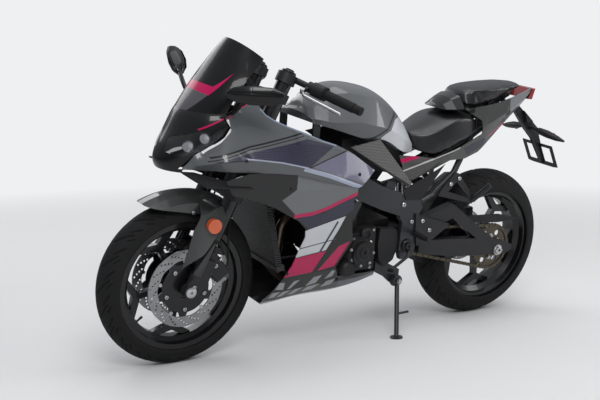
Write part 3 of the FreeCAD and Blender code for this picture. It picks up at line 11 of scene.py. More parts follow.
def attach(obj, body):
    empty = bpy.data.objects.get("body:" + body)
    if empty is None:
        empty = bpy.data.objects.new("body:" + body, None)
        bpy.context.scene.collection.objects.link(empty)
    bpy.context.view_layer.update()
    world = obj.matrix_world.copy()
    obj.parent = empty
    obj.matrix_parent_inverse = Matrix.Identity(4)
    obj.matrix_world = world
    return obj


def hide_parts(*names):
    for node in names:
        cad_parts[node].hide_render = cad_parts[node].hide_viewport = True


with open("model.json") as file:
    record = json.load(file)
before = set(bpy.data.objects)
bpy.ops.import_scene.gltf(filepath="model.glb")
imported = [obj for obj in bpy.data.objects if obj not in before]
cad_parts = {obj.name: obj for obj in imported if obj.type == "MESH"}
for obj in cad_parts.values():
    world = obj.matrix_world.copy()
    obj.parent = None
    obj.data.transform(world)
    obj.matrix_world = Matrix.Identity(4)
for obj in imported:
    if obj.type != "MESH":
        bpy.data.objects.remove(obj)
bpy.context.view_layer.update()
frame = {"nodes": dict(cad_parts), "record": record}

# The bike's own axes: upright, x ahead, y left, z up, in millimetres

MM = 0.001
LEAN = math.radians(8.8)
STAND = Matrix.Translation(Vector((38.0, -167.0, 0.883)) * MM) @ Matrix.Rotation(-LEAN, 4, "X")
UPRIGHT = STAND.inverted()
TO_FRAME = STAND @ Matrix.Scale(MM, 4)
WHEELBASE = 1365.0
FRONT_RADIUS = 293.0
REAR_RADIUS = 306.0
AXLE_FRONT = Vector((WHEELBASE / 2, 0, FRONT_RADIUS))
AXLE_REAR = Vector((-WHEELBASE / 2, 0, REAR_RADIUS))
LEFT = Vector((0, 1, 0))
UP = Vector((0, 0, 1))
AHEAD = Vector((1, 0, 0))

# Node trees

MIX_SOCKETS = {"FLOAT": (2, 3, 0), "VECTOR": (4, 5, 1), "RGBA": (6, 7, 2)}


class Tree:
    """Builds the shader nodes of a material or world."""

    def __init__(self, owner):
        owner.use_nodes = True
        self.tree = owner.node_tree
        self.tree.nodes.clear()

    def new(self, kind, **settings):
        node = self.tree.nodes.new("ShaderNode" + kind)
        for key, value in settings.items():
            setattr(node, key, value)
        return node

    def feed(self, socket, value):
        """Links an output to the socket, or sets a constant on it."""
        if isinstance(value, bpy.types.NodeSocket):
            self.tree.links.new(value, socket)
        elif socket.type == "RGBA":
            socket.default_value = (*value, 1)
        else:
            socket.default_value = value

    def wire(self, kind, *values, output=0, **settings):
        """Feeds a new node's first sockets, skipping each None, and gives one of its outputs."""
        node = self.new(kind, **settings)
        for socket, value in zip(node.inputs, values):
            if value is not None:
                self.feed(socket, value)
        return node.outputs[output]

    def math(self, operation, *values, clamp=False):
        return self.wire("Math", *values, operation=operation, use_clamp=clamp)

    def vector(self, operation, *values):
        output = "Value" if operation in ("LENGTH", "DOT_PRODUCT") else "Vector"
        return self.wire("VectorMath", *values, output=output, operation=operation)

    def mix(self, factor, one, two, kind="RGBA"):
        node = self.new("Mix", data_type=kind)
        first, second, output = MIX_SOCKETS[kind]
        for number, value in ((0, factor), (first, one), (second, two)):
            self.feed(node.inputs[number], value)
        return node.outputs[output]


# Camera, world and lamps

CAMERA_PLACE = Vector((2.1736, 3.0145, 1.0191))
CAMERA_AHEAD = Vector((-0.52559, -0.84090, -0.12899))
CAMERA_UP = Vector((-0.07724, -0.10383, 0.99159))
FOCAL_PIXELS = 1006.9
PHOTO_WIDTH = 600
SENSOR = 36.0
BACKDROP_COLOUR = (0.86, 0.87, 0.88)
SKY_COLOUR = (0.82, 0.85, 0.90)
WALL_LIGHT = 0.12
CEILING_LIGHT = 0.72
WALL_HEIGHT = -0.05
CEILING_HEIGHT = 0.75
LAMPS = [
    # name, place, target, size, power
    ("key", (2.0, 3.4, 3.4), (0, 0, 0.5), (2.2, 1.4), 96),
    ("sky", (-0.3, 0.6, 4.2), (0, 0, 0.4), (3.6, 2.6), 62),
    ("rear", (-3.2, 1.6, 1.8), (-0.3, 0, 0.6), (1.6, 1.6), 34),
    ("far_side", (0.6, -3.4, 2.6), (0, 0, 0.6), (3.0, 1.6), 36),
]


def show(name, data):
    """A new object in the scene."""
    thing = bpy.data.objects.new(name, data)
    bpy.context.scene.collection.objects.link(thing)
    return thing


def make_camera():
    data = bpy.data.cameras.new("camera")
    data.sensor_width = SENSOR
    data.lens = FOCAL_PIXELS / PHOTO_WIDTH * SENSOR
    camera = show("camera", data)
    side = CAMERA_AHEAD.cross(CAMERA_UP).normalized()
    turn = Matrix((side, side.cross(CAMERA_AHEAD), -CAMERA_AHEAD)).transposed()
    camera.matrix_world = Matrix.Translation(CAMERA_PLACE) @ turn.to_4x4()
    bpy.context.scene.camera = camera


def make_lamp(name, place, target, size, power):
    data = bpy.data.lights.new(name, "AREA")
    data.shape = "RECTANGLE"
    data.size, data.size_y = size
    data.energy = power
    lamp = show(name, data)
    lamp.location = place
    lamp.rotation_euler = (Vector(target) - Vector(place)).to_track_quat("-Z", "Y").to_euler()


def make_world():
    """Light that grows towards the ceiling, behind a plain backdrop."""
    world = bpy.data.worlds.new("studio")
    bpy.context.scene.world = world
    tree = Tree(world)
    path = tree.new("LightPath").outputs
    shown = tree.math("MAXIMUM", path["Is Camera Ray"], path["Is Transmission Ray"])
    height = tree.wire("SeparateXYZ", tree.wire("TexCoord", output="Generated"), output="Z")
    level = tree.wire("MapRange", height, WALL_HEIGHT, CEILING_HEIGHT, WALL_LIGHT, CEILING_LIGHT,
                      interpolation_type="SMOOTHSTEP")
    light = tree.wire("Background", SKY_COLOUR, level)
    surface = tree.wire("MixShader", shown, light, tree.wire("Background", BACKDROP_COLOUR))
    tree.feed(tree.new("OutputWorld").inputs["Surface"], surface)


make_camera()
make_world()
for row in LAMPS:
    make_lamp(*row)
bpy.context.scene.view_settings.view_transform = "Standard"

# Material kit

EDGE_SOFTNESS = 0.8
HEX_TALL = math.sqrt(3)
SOCKETS = {
    "colour": "Base Color", "metallic": "Metallic", "rough": "Roughness", "coat": "Coat Weight",
    "coat_rough": "Coat Roughness", "specular": "Specular IOR Level", "alpha": "Alpha",
    "glow": "Emission Strength", "glow_colour": "Emission Color",
}


class Finish(Tree):
    """A node material with its coordinates in the upright bike's millimetres."""

    def __init__(self, name):
        self.material = bpy.data.materials.new(name)
        super().__init__(self.material)
        self.out = self.new("OutputMaterial")
        self.shader = self.new("BsdfPrincipled")
        self.feed(self.out.inputs["Surface"], self.shader.outputs[0])

    @cached_property
    def place(self):
        """The point's place on the upright bike."""
        local = self.wire("TexCoord", output="Object")
        return self.wire("Mapping", local, UPRIGHT.to_translation() / MM, (LEAN, 0, 0), (1 / MM,) * 3)

    def split(self, vector):
        node = self.new("SeparateXYZ")
        self.feed(node.inputs[0], vector)
        return node.outputs

    @cached_property
    def axes(self):
        return self.split(self.place)

    @cached_property
    def side(self):
        """(x, z, 1), for straight-edged areas drawn on the side view."""
        return self.wire("CombineXYZ", self.axes[0], self.axes[2], 1.0)

    def noise(self, size, detail=3.0, rough=0.5):
        """Noise with features about size millimetres across."""
        scaled = self.vector("MULTIPLY", self.place, (1 / size,) * 3)
        node = self.new("TexNoise")
        for socket, value in (("Vector", scaled), ("Scale", 1.0), ("Detail", detail), ("Roughness", rough)):
            self.feed(node.inputs[socket], value)
        return node.outputs["Fac"]

    def spread(self, value, low, high):
        """Maps a 0 to 1 value onto low to high."""
        return self.math("MULTIPLY_ADD", value, high - low, low)

    def area(self, corners):
        """1 inside a convex outline of (x, z) corners on the side view, 0 outside."""
        edges = list(zip(corners, corners[1:] + corners[:1]))
        turning = sum(x1 * z2 - x2 * z1 for (x1, z1), (x2, z2) in edges)
        depth = None
        for (x1, z1), (x2, z2) in edges:
            length = math.copysign(math.hypot(x2 - x1, z2 - z1), turning)
            u, v = (z1 - z2) / length, (x2 - x1) / length
            inward = self.vector("DOT_PRODUCT", self.side, (u, v, -(u * x1 + v * z1)))
            depth = inward if depth is None else self.math("MINIMUM", depth, inward)
        return self.math("MULTIPLY_ADD", depth, 1 / EDGE_SOFTNESS, 0.5, clamp=True)

    def areas(self, outlines):
        """1 inside any of the outlines."""
        return reduce(lambda one, two: self.math("MAXIMUM", one, two), map(self.area, outlines))

    def stripe(self, points, width):
        """1 on a band of that width along (x, z) points on the side view."""
        outlines = []
        for (x1, z1), (x2, z2) in zip(points, points[1:]):
            share = width / 2 / math.hypot(x2 - x1, z2 - z1)
            u, v = (z1 - z2) * share, (x2 - x1) * share
            outlines.append([(x1 + u, z1 + v), (x2 + u, z2 + v), (x2 - u, z2 - v), (x1 - u, z1 - v)])
        return self.areas(outlines)

    def honeycomb(self, pitch):
        """0 at the middle of each hexagon of a side-view grid, rising to 0.5 at its walls."""
        size = (1 / pitch, 1 / (pitch * HEX_TALL), 0)
        cells = []
        for shift in (0.0, 0.5):
            scaled = self.vector("MULTIPLY_ADD", self.side, size, (shift, shift, 0))
            centred = self.vector("SUBTRACT", self.vector("FRACTION", scaled), (0.5, 0.5, 0))
            cells.append(self.vector("MULTIPLY", centred, (1, HEX_TALL, 0)))
        nearer = self.math("LESS_THAN", *[self.vector("LENGTH", cell) for cell in cells])
        x, y, _ = self.split(self.vector("ABSOLUTE", self.mix(nearer, cells[1], cells[0], "VECTOR")))
        slanted = self.math("MULTIPLY_ADD", y, HEX_TALL / 2, self.math("MULTIPLY", x, 0.5))
        return self.math("MAXIMUM", x, slanted)

    def inner_side(self):
        """1 on faces that look towards the bike's middle plane."""
        normal = self.wire("TexCoord", output="Normal")
        leftward = self.vector("DOT_PRODUCT", normal, (0, math.cos(LEAN), -math.sin(LEAN)))
        outward = self.math("MULTIPLY", leftward, self.math("SIGN", self.axes[1]))
        return self.math("MULTIPLY_ADD", outward, -8.0, -1.2, clamp=True)

    def layers(self, base, areas):
        """Lays each (mask, colour) over the ones before."""
        return reduce(lambda under, layer: self.mix(layer[0], under, layer[1]), areas, base)

    def bump(self, height, strength, distance):
        node = self.new("Bump")
        for socket, value in (("Strength", strength), ("Distance", distance), ("Height", height)):
            self.feed(node.inputs[socket], value)
        self.feed(self.shader.inputs["Normal"], node.outputs[0])

    def set(self, **values):
        for key, value in values.items():
            self.feed(self.shader.inputs[SOCKETS[key]], value)


def tinted(made, colour, size=180, shift=0.05):
    """The colour with a drift across the piece."""
    darker = tuple(part * (1 - shift) for part in colour)
    lighter = tuple(part * (1 + shift) for part in colour)
    return made.mix(made.noise(size), darker, lighter)


# Colours

GREY = (0.088, 0.094, 0.098)
LIGHT_GREY = (0.13, 0.138, 0.142)
TAIL_GREY = (0.045, 0.045, 0.044)
FENDER_GREY = (0.048, 0.049, 0.049)
BLACK = (0.0045, 0.0045, 0.005)
NAVY = (0.012, 0.012, 0.028)
NAVY_LINE = (0.060, 0.058, 0.098)
LILAC = (0.13, 0.126, 0.185)
# Pale paint on the upper fairing's ridge, brightened with a painted highlight
PALE_BLUE_PAINT_AND_HIGHLIGHT = (0.34, 0.37, 0.47)
PINK = (0.40, 0.002, 0.070)
WHITE = (0.50, 0.515, 0.54)
SILVER = (0.75, 0.75, 0.76)
SLATE = (0.035, 0.037, 0.065)

# Decals, with a few painted shadow and highlight lines, as (x, z) outlines on the side view


def comb(made, pitch, low, high):
    """A honeycomb print: cells of the low colour inside walls of the high one."""
    walls = made.math("MULTIPLY_ADD", made.honeycomb(pitch), 12.0, -4.9, clamp=True)
    return made.mix(walls, low, high)


# Prints on the upper fairing, with painted shadow lines in its groove and a painted highlight along its ridge
def upper_decals_and_painted_light(made):
    navy = made.areas([
        [(659, 755), (543, 791), (510, 771)],
        [(543, 791), (319, 825), (325, 734), (510, 771)],
        [(319, 825), (203, 794), (325, 734)],
    ])
    lilac = made.area([(315, 736), (137, 772), (0, 692), (80, 660), (136, 677)])
    shoulder = [(483, 927), (464, 906), (430, 886), (383, 866), (316, 842), (250, 815), (190, 796)]
    return [
        # The two black lines are painted shadow in the groove under the upper surface
        (made.stripe([(661, 769), (538, 809), (344, 842), (305, 846)], 5), BLACK),
        (made.stripe([(668, 757), (540, 799), (329, 835)], 3), BLACK),
        (navy, comb(made, 7.5, NAVY, NAVY_LINE)),
        (lilac, tinted(made, LILAC, 90, 0.12)),
        (made.stripe([(325, 733), (140, 777)], 4), BLACK),
        # The pale blue band along the ridge is partly pale paint, partly a painted highlight
        (made.stripe([(560, 773), (509, 769), (433, 758), (331, 734)], 5), PALE_BLUE_PAINT_AND_HIGHLIGHT),
        (made.stripe([(345, 731), (331, 727), (237, 699), (137, 662), (90, 645)], 15), PALE_BLUE_PAINT_AND_HIGHLIGHT),
        (made.stripe([(676, 781), (629, 821), (596, 858), (600, 892)], 7), SILVER),
        (made.stripe([(601, 895), (577, 917), (500, 959)], 5), PINK),
        (made.stripe(shoulder, 9), (0.20, 0.24, 0.32)),
    ]


BELLY_BLOCKS = [
    # the upper row, then the lower row, both from front to rear
    [(347, 293), (325, 290), (322, 258), (357, 264)],
    [(287, 292), (263, 294), (292, 259), (306, 258)],
    [(205, 297), (171, 302), (185, 268), (228, 260)],
    [(132, 318), (116, 313), (120, 290), (152, 280)],
    [(362, 250), (330, 250), (345, 225), (368, 222)],
    [(318, 248), (285, 252), (312, 225), (335, 222)],
    [(268, 252), (235, 255), (262, 228), (290, 226)],
    [(215, 256), (165, 262), (185, 236), (228, 232)],
    [(140, 268), (100, 275), (110, 248), (150, 240)],
]


def lower_decals(made):
    grey = made.areas([
        [(358, 745), (358, 657), (335, 553), (250, 560), (60, 640), (60, 745)],
        [(358, 657), (411, 622), (335, 553)],
    ])
    navy = made.areas([
        [(345, 554), (279, 502), (200, 523), (223, 570), (278, 557)],
        [(223, 570), (200, 523), (135, 541), (100, 558), (100, 617), (168, 592)],
    ])
    white = made.area([(310, 490), (278, 500), (129, 537), (151, 481), (185, 409), (320, 391)])
    vent = made.area([(407, 673), (360, 655), (411, 620), (450, 622), (493, 645), (460, 672)])
    return [
        (grey, tinted(made, LIGHT_GREY)),
        (navy, comb(made, 7.5, NAVY, NAVY_LINE)),
        (made.stripe([(350, 556), (278, 560), (223, 573), (168, 595), (96, 622)], 14), PINK),
        (white, tinted(made, WHITE, 60, 0.08)),
        (made.stripe([(159, 519), (212, 400)], 9), SLATE),
        (made.stripe([(300, 427), (150, 449)], 4), SLATE),
        (made.area([(315, 389), (184, 405), (223, 323), (350, 314)]), tinted(made, PINK, 60, 0.15)),
        (made.area([(86, 433), (131, 418), (201, 324), (130, 336)]), tinted(made, PINK, 60, 0.15)),
        (made.areas(BELLY_BLOCKS), tinted(made, (0.26, 0.265, 0.28), 60, 0.1)),
        (made.area([(80, 262), (60, 205), (-140, 225), (-110, 262)]), (0.045, 0.04, 0.07)),
        (vent, BLACK),
        (made.stripe([(530, 730), (496, 696), (430, 684), (357, 679)], 12), BLACK),
    ]


def nose_decals(made):
    return [(made.stripe([(684, 853), (607, 893)], 5), PINK)]


def screen_decals(made):
    arrow = made.areas([
        [(690, 1012), (623, 988), (640, 960), (695, 986)],
        [(623, 988), (562, 1035), (640, 960)],
    ])
    return [
        (made.area([(695, 996), (640, 962), (697, 905), (740, 905)]), (0.07, 0.066, 0.075)),
        (arrow, PINK),
    ]


def tank_decals(made):
    return [
        (made.area([(-41, 770), (-41, 801), (-128, 856), (-260, 870), (-260, 690)]), WHITE),
        (made.stripe([(40, 800), (4, 800), (-30, 812), (-128, 872), (-150, 892)], 8), NAVY),
        (made.stripe([(250, 848), (80, 806), (4, 790), (-60, 782)], 7), BLACK),
    ]


def tail_decals(made):
    panel = made.area([(-120, 740), (-120, 690), (-300, 700), (-300, 735)])
    return [
        (panel, comb(made, 6, (0.05, 0.046, 0.05), (0.11, 0.1, 0.1))),
        (made.area([(-130, 712), (-130, 697), (-230, 712), (-230, 727)]), PINK),
        (made.stripe([(-150, 667), (-300, 705), (-430, 741)], 6), (0.42, 0.41, 0.40)),
        (made.area([(-450, 738), (-560, 772), (-590, 750), (-480, 705)]), NAVY),
        (made.stripe([(-590, 777), (-680, 822)], 6), PINK),
        (made.area([(-376, 871), (-376, 940), (-500, 940), (-500, 871)]), BLACK),
        (made.area([(-690, 940), (-690, 830), (-880, 880), (-880, 980)]), (0.17, 0.175, 0.19)),
    ]


# Materials: glossy paints, plain finishes, and those with a pattern of their own

PAINTS = {
    # name: colour, decals with any painted shadow and highlight lines, whether the inner side is matt black,
    # coat
    "gloss_grey": (GREY, tank_decals, False, 0.6),
    "upper_paint": (GREY, upper_decals_and_painted_light, True, 0.6),
    "lower_paint": (BLACK, lower_decals, True, 0.6),
    "tail_paint": (TAIL_GREY, tail_decals, True, 0.6),
    "fender_paint": (FENDER_GREY, None, True, 0.6),
    "gloss_black": (BLACK, nose_decals, False, 0.4),
    "dark_screen": (BLACK, screen_decals, False, 0.3),
}
WORN = {
    # name: colour, roughness, the rest
    "satin_black": ((0.009, 0.009, 0.010), 0.50, dict(bump=0.25, bump_size=0.9, specular=0.3)),
    "frame_paint": ((0.022, 0.023, 0.027), 0.36, dict(metallic=0.2, bump=0.15, bump_size=1.5)),
    "wheel_paint": ((0.006, 0.006, 0.007), 0.30, dict(coat=0.3, specular=0.3)),
    "fork_tube": ((0.010, 0.010, 0.011), 0.25, dict(coat=0.3, specular=0.3)),
    "cast_alloy": ((0.022, 0.022, 0.024), 0.42, dict(metallic=0.3, bump=0.3, bump_size=1.2, specular=0.35)),
    "engine_alloy": ((0.016, 0.016, 0.017), 0.5, dict(metallic=0.3, bump=0.4, bump_size=1.4, specular=0.35)),
    "bright_steel": ((0.50, 0.50, 0.51), 0.28, dict(metallic=1.0)),
    "chain_steel": ((0.10, 0.085, 0.065), 0.42, dict(metallic=0.9, size=20, shift=0.3)),
    "exhaust_steel": ((0.16, 0.12, 0.09), 0.34, dict(metallic=1.0, size=80, shift=0.3)),
    "tyre": ((0.010, 0.010, 0.0105), 0.80, dict(bump=0.3, bump_size=1.0, specular=0.2)),
    "rubber": ((0.007, 0.007, 0.0075), 0.70, dict(bump=0.3, bump_size=1.2, specular=0.25)),
    "red_lens": ((0.20, 0.008, 0.010), 0.12, dict(coat=1.0, size=9, shift=0.3)),
    "mirror_glass": ((0.62, 0.64, 0.66), 0.08, dict(metallic=1.0, size=40, shift=0.05)),
    "lamp_chrome": ((0.72, 0.73, 0.75), 0.10, dict(metallic=1.0, size=12, shift=0.08)),
    "slider_steel": ((0.07, 0.07, 0.072), 0.16, dict(metallic=1.0, size=60, shift=0.15)),
    "black_steel": ((0.035, 0.035, 0.037), 0.36, dict(metallic=0.8, size=15, shift=0.3)),
    "display": ((0.006, 0.007, 0.008), 0.10, dict(coat=1.0)),
}
OWN_FINISH = {
    "upper_fairings": "upper_paint", "lower_fairings": "lower_paint", "front_fender": "fender_paint",
    "tail_fairing": "tail_paint",
}


def gloss_paint(name, colour, decals_and_painted_light, matt_inside, coat):
    """Solid paint and decals, with some painted shadow and highlight lines, under a clear coat, with a faint
    orange-peel skin.
    """
    made = Finish(name)
    shown = made.layers(tinted(made, colour), decals_and_painted_light(made) if decals_and_painted_light else [])
    rough = made.spread(made.noise(30), 0.26, 0.32)
    if matt_inside:
        inside = made.inner_side()
        shown = made.mix(inside, shown, BLACK)
        rough = made.mix(inside, rough, 0.6, "FLOAT")
    made.set(colour=shown, rough=rough, coat=coat, coat_rough=0.04, specular=coat / 3)
    made.bump(made.noise(7, detail=1), 0.05, 0.0003)
    return made


def worn(name, colour, rough, size=60.0, shift=0.12, bump=0.0, bump_size=2.0, **constants):
    """A finish with gentle mottling of colour and gloss and a fine surface."""
    made = Finish(name)
    gloss = made.spread(made.noise(size * 0.4), max(0.02, rough - 0.06), rough + 0.06)
    made.set(colour=tinted(made, colour, size, shift), rough=gloss, **constants)
    if bump:
        made.bump(made.noise(bump_size, detail=2), bump, 0.0004)
    return made


def disc_steel():
    """Ground steel with fine scratches."""
    made = Finish("disc_steel")
    made.set(colour=made.mix(made.noise(50), (0.24, 0.24, 0.25), (0.36, 0.36, 0.37)), metallic=1.0,
             rough=made.spread(made.noise(1.4, detail=2), 0.26, 0.42))
    made.bump(made.noise(1.1, detail=2), 0.15, 0.0002)
    return made


def seat_cover():
    """Black leatherette: fine pebble grain, a soft sheen and slight creasing."""
    made = Finish("seat_cover")
    grain = made.noise(1.7, rough=0.6)
    made.set(colour=made.mix(grain, (0.0045, 0.0045, 0.005), (0.008, 0.008, 0.009)),
             rough=made.spread(made.noise(22), 0.30, 0.38), specular=0.5, coat=0.15, coat_rough=0.25)
    made.bump(made.math("MULTIPLY_ADD", made.noise(35, detail=2), 0.6, grain), 0.22, 0.0004)
    return made


def lamp_glass():
    """A dark clear cover that shows the lamp behind it."""
    made = Finish("lamp_glass")
    made.set(colour=made.mix(made.noise(20), (0.010, 0.011, 0.012), (0.016, 0.017, 0.019)), rough=0.04,
             coat=1.0, coat_rough=0.02, alpha=0.42, specular=0.5)
    made.material.surface_render_method = "BLENDED"
    return made


def lamp_bead():
    """A clear projector bead that glints in its bowl."""
    made = Finish("lamp_bead")
    made.set(colour=made.mix(made.noise(6), (0.75, 0.76, 0.78), (0.9, 0.9, 0.9)), rough=0.05, coat=1.0,
             glow_colour=(0.9, 0.92, 1.0), glow=0.6)
    return made


def orange_lens():
    """Moulded reflector plastic with a fine prism grid."""
    made = Finish("orange_lens")
    cells = made.honeycomb(3.0)
    made.set(colour=made.mix(made.math("MULTIPLY", cells, 2.0), (0.80, 0.13, 0.010), (0.45, 0.055, 0.006)),
             rough=0.16, coat=1.0, coat_rough=0.04)
    made.bump(cells, 0.6, 0.0004)
    return made


def radiator_core():
    """Rows of thin cooling fins between flat tubes."""
    made = Finish("radiator_core")
    rows = made.math("PINGPONG", made.axes[2], 4.0)
    fins = made.math("PINGPONG", made.axes[1], 1.1)
    shown = made.mix(made.math("DIVIDE", rows, 4.0), (0.010, 0.010, 0.011), (0.05, 0.05, 0.052))
    made.set(colour=shown, metallic=0.5, rough=made.spread(made.noise(12), 0.42, 0.58))
    made.bump(made.math("ADD", rows, fins), 0.8, 0.001)
    return made


def side_panel():
    """Moulded plastic: a grey field with an embossed dot grid; the black around it is painted shade along the
    panel's lower edge.
    """
    made = Finish("side_panel")
    dots = made.math("MULTIPLY_ADD", made.honeycomb(6.5), -7.0, 2.0, clamp=True)
    # Outside the field the panel is black: painted shade in the gap along its lower edge
    field = made.area([(103, 775), (-25, 797), (-193, 623), (-181, 618)])
    dotted = made.mix(dots, (0.075, 0.072, 0.070), (0.26, 0.255, 0.25))
    made.set(colour=made.mix(field, (0.010, 0.010, 0.011), dotted),
             rough=made.spread(made.noise(15), 0.38, 0.5), specular=0.35)
    made.bump(made.math("MULTIPLY", dots, field), 0.5, 0.0008)
    return made


def paint(piece, made):
    piece.data.materials.clear()
    piece.data.materials.append(made.material)


finishes = {name: gloss_paint(name, *row) for name, row in PAINTS.items()}
for name, (colour, rough, rest) in WORN.items():
    finishes[name] = worn(name, colour, rough, **rest)
for make in (disc_steel, seat_cover, lamp_bead, orange_lens, radiator_core, side_panel):
    finishes[make.__name__] = make()
finishes["lamp_lens"] = lamp_glass()

for entry in frame["record"]["subparts"]:
    node = entry["node"]
    paint(frame["nodes"][node], finishes[OWN_FINISH.get(node, entry["material_slot"])])

# Shape kit

# A flat curve's own z axis goes along the x axis of its place
CURVE_TURN = Matrix(((0, 0, 1, 0), (1, 0, 0, 0), (0, 1, 0, 0), (0, 0, 0, 1)))
CAST_FROM = 420.0
WELD = 0.005


def spoke(angle, reach=1.0):
    """A step in the bike's middle plane, at an angle up from straight ahead."""
    return Vector((math.cos(angle), 0, math.sin(angle))) * reach


def ring_of(count, radius, first=0.0):
    """(x, z) steps round a circle, the first at that angle in degrees."""
    angles = [math.radians(first + 360 * number / count) for number in range(count)]
    return [(radius * math.cos(angle), radius * math.sin(angle)) for angle in angles]


def circle(u, v, radius, steps, first=0.0):
    return [(u + x, v + z) for x, z in ring_of(steps, radius, first)]


def off_line(reach, way):
    """How far a point, given as a step from the start of a stretch, lies from the stretch."""
    share = max(0.0, min(1.0, reach.dot(way) / way.length_squared))
    return (reach - way * share).length


def as_object(name, build):
    """Turns the build into an object and frees it."""
    mesh = bpy.data.meshes.new(name)
    build.to_mesh(mesh)
    build.free()
    return show(name, mesh)


def add_piece(name, build, body, finish, slot=None, sharp=38.0, replaces=None):
    """A piece from a build drawn on the upright bike, on its body, in place of a CAD node if one is named."""
    bmesh.ops.remove_doubles(build, verts=build.verts, dist=WELD)
    bmesh.ops.recalc_face_normals(build, faces=build.faces)
    bmesh.ops.transform(build, matrix=TO_FRAME, verts=build.verts)
    piece = as_object(name, build)
    piece.data.shade_smooth()
    piece.data.set_sharp_from_angle(angle=math.radians(sharp))
    paint(piece, finishes[finish])
    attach(piece, body)
    slot or finish
    if replaces:
        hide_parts(replaces)


def facing(centre, way, up=UP):
    """A place whose x axis runs along way and whose z axis leans towards up."""
    x = Vector(way).normalized()
    z = Vector(up) - x * x.dot(up)
    if z.length < 0.01:
        z = AHEAD - x * x.dot(AHEAD)
    z.normalize()
    place = Matrix((x, z.cross(x), z)).transposed().to_4x4()
    place.translation = Vector(centre)
    return place


def bridge(build, one, two, around=True):
    """Faces between two rows of points, which are rings unless around is False."""
    count = len(one)
    for number in range(count if around else count - 1):
        after = (number + 1) % count
        corners = list(dict.fromkeys([one[number], one[after], two[after], two[number]]))
        if len(corners) > 2:
            build.faces.new(corners)


def spin(build, place, profile, steps=24):
    """Turns (along, radius) entries about the place's x axis; a third value makes that ring a polygon."""
    rings = []
    for along, radius, *sides in profile:
        if radius == 0:
            rings.append([build.verts.new(place @ Vector((along, 0, 0)))] * steps)
            continue
        ring = []
        for number in range(steps):
            angle = 2 * math.pi * number / steps
            reach = radius
            if sides:
                half = math.pi / sides[0]
                reach = radius * math.cos(half) / math.cos(angle % (2 * half) - half)
            point = Vector((along, reach * math.cos(angle), reach * math.sin(angle)))
            ring.append(build.verts.new(place @ point))
        rings.append(ring)
    for one, two in zip(rings, rings[1:]):
        bridge(build, one, two)


def loft(build, rings):
    """Skins through rings of like count and caps both ends."""
    made = [[build.verts.new(point) for point in ring] for ring in rings]
    for one, two in zip(made, made[1:]):
        bridge(build, one, two)
    build.faces.new(made[0])
    build.faces.new(made[-1][::-1])


def slab(build, outline, y_low, y_high, bevel):
    """An (x, z) outline with thickness along y."""
    low, high = [[build.verts.new((x, y, z)) for x, z in outline] for y in (y_low, y_high)]
    faces = [build.faces.new(low), build.faces.new(high[::-1])]
    bridge(build, low, high)
    edges = {edge for face in faces for edge in face.edges}
    bmesh.ops.bevel(build, geom=list(edges), offset=bevel, segments=2, affect="EDGES")


def both_sides(build):
    """Adds the mirror image across the bike's middle plane."""
    copy = bmesh.ops.duplicate(build, geom=build.verts[:] + build.edges[:] + build.faces[:])
    verts = [item for item in copy["geom"] if isinstance(item, bmesh.types.BMVert)]
    bmesh.ops.scale(build, vec=(1, -1, 1), verts=verts)


def pour(build, mesh):
    """Adds a mesh to the build and removes it."""
    build.from_mesh(mesh)
    bpy.data.meshes.remove(mesh)


def from_curve(build, curve, place=Matrix()):
    holder = bpy.data.objects.new("outline", curve)
    mesh = bpy.data.meshes.new_from_object(holder)
    mesh.transform(place)
    pour(build, mesh)
    bpy.data.objects.remove(holder)
    bpy.data.curves.remove(curve)


def plate(build, place, outlines, thickness, bevel=0.0):
    """A flat plate across the place's x axis; outlines inside the first are openings."""
    curve = bpy.data.curves.new("outline", "CURVE")
    curve.dimensions = "2D"
    curve.fill_mode = "BOTH"
    curve.extrude = thickness / 2 - bevel
    curve.bevel_depth = bevel
    curve.offset = -bevel
    curve.bevel_resolution = 0
    for points in outlines:
        spline = curve.splines.new("POLY")
        spline.points.add(len(points) - 1)
        for point, (u, v) in zip(spline.points, points):
            point.co = (u, v, 0, 1)
        spline.use_cyclic_u = True
    from_curve(build, curve, place @ CURVE_TURN)


def tube(build, points, radius):
    """A round tube along the smooth line that the points steer."""
    curve = bpy.data.curves.new("run", "CURVE")
    curve.dimensions = "3D"
    curve.resolution_u = 8
    curve.bevel_depth = radius
    curve.bevel_resolution = 3
    curve.use_fill_caps = True
    spline = curve.splines.new("NURBS")
    spline.points.add(len(points) - 1)
    for point, place in zip(spline.points, points):
        point.co = (*place, 1)
    spline.order_u = 3
    spline.use_endpoint_u = True
    from_curve(build, curve)


def met_on(node, places, sides=(1, -1)):
    """Where (x, z) places meet a CAD node from the sides, and the way it faces there; misses are skipped."""
    mesh = frame["nodes"][node].data
    corners = [vertex.co.copy() for vertex in mesh.vertices]
    surface = BVHTree.FromPolygons(corners, [tuple(face.vertices) for face in mesh.polygons])
    for side in sides:
        for x, z in places:
            start = STAND @ (Vector((x, side * CAST_FROM, z)) * MM)
            hit, normal, _, _ = surface.ray_cast(start, STAND.to_3x3() @ (LEFT * -side))
            if hit is not None:
                yield UPRIGHT @ hit / MM, UPRIGHT.to_3x3() @ normal


def cap_screw(build, centre, way, radius, height):
    """A socket head with a rounded shoulder and a six-sided recess."""
    spin(build, facing(centre, way), [
        (-1, radius), (height * 0.75, radius), (height, radius * 0.86), (height, radius * 0.6, 6),
        (height * 0.3, radius * 0.56, 6), (height * 0.3, 0),
    ])


def hex_nut(build, centre, way, radius, height):
    """A six-sided head on a round washer."""
    spin(build, facing(centre, way), [
        (-1, radius * 1.18), (height * 0.16, radius * 1.18), (height * 0.16, radius * 0.98, 6),
        (height * 0.9, radius * 0.98, 6), (height, radius * 0.84), (height, radius * 0.4),
        (height * 0.8, radius * 0.36), (height * 0.8, 0),
    ])


# Tyres

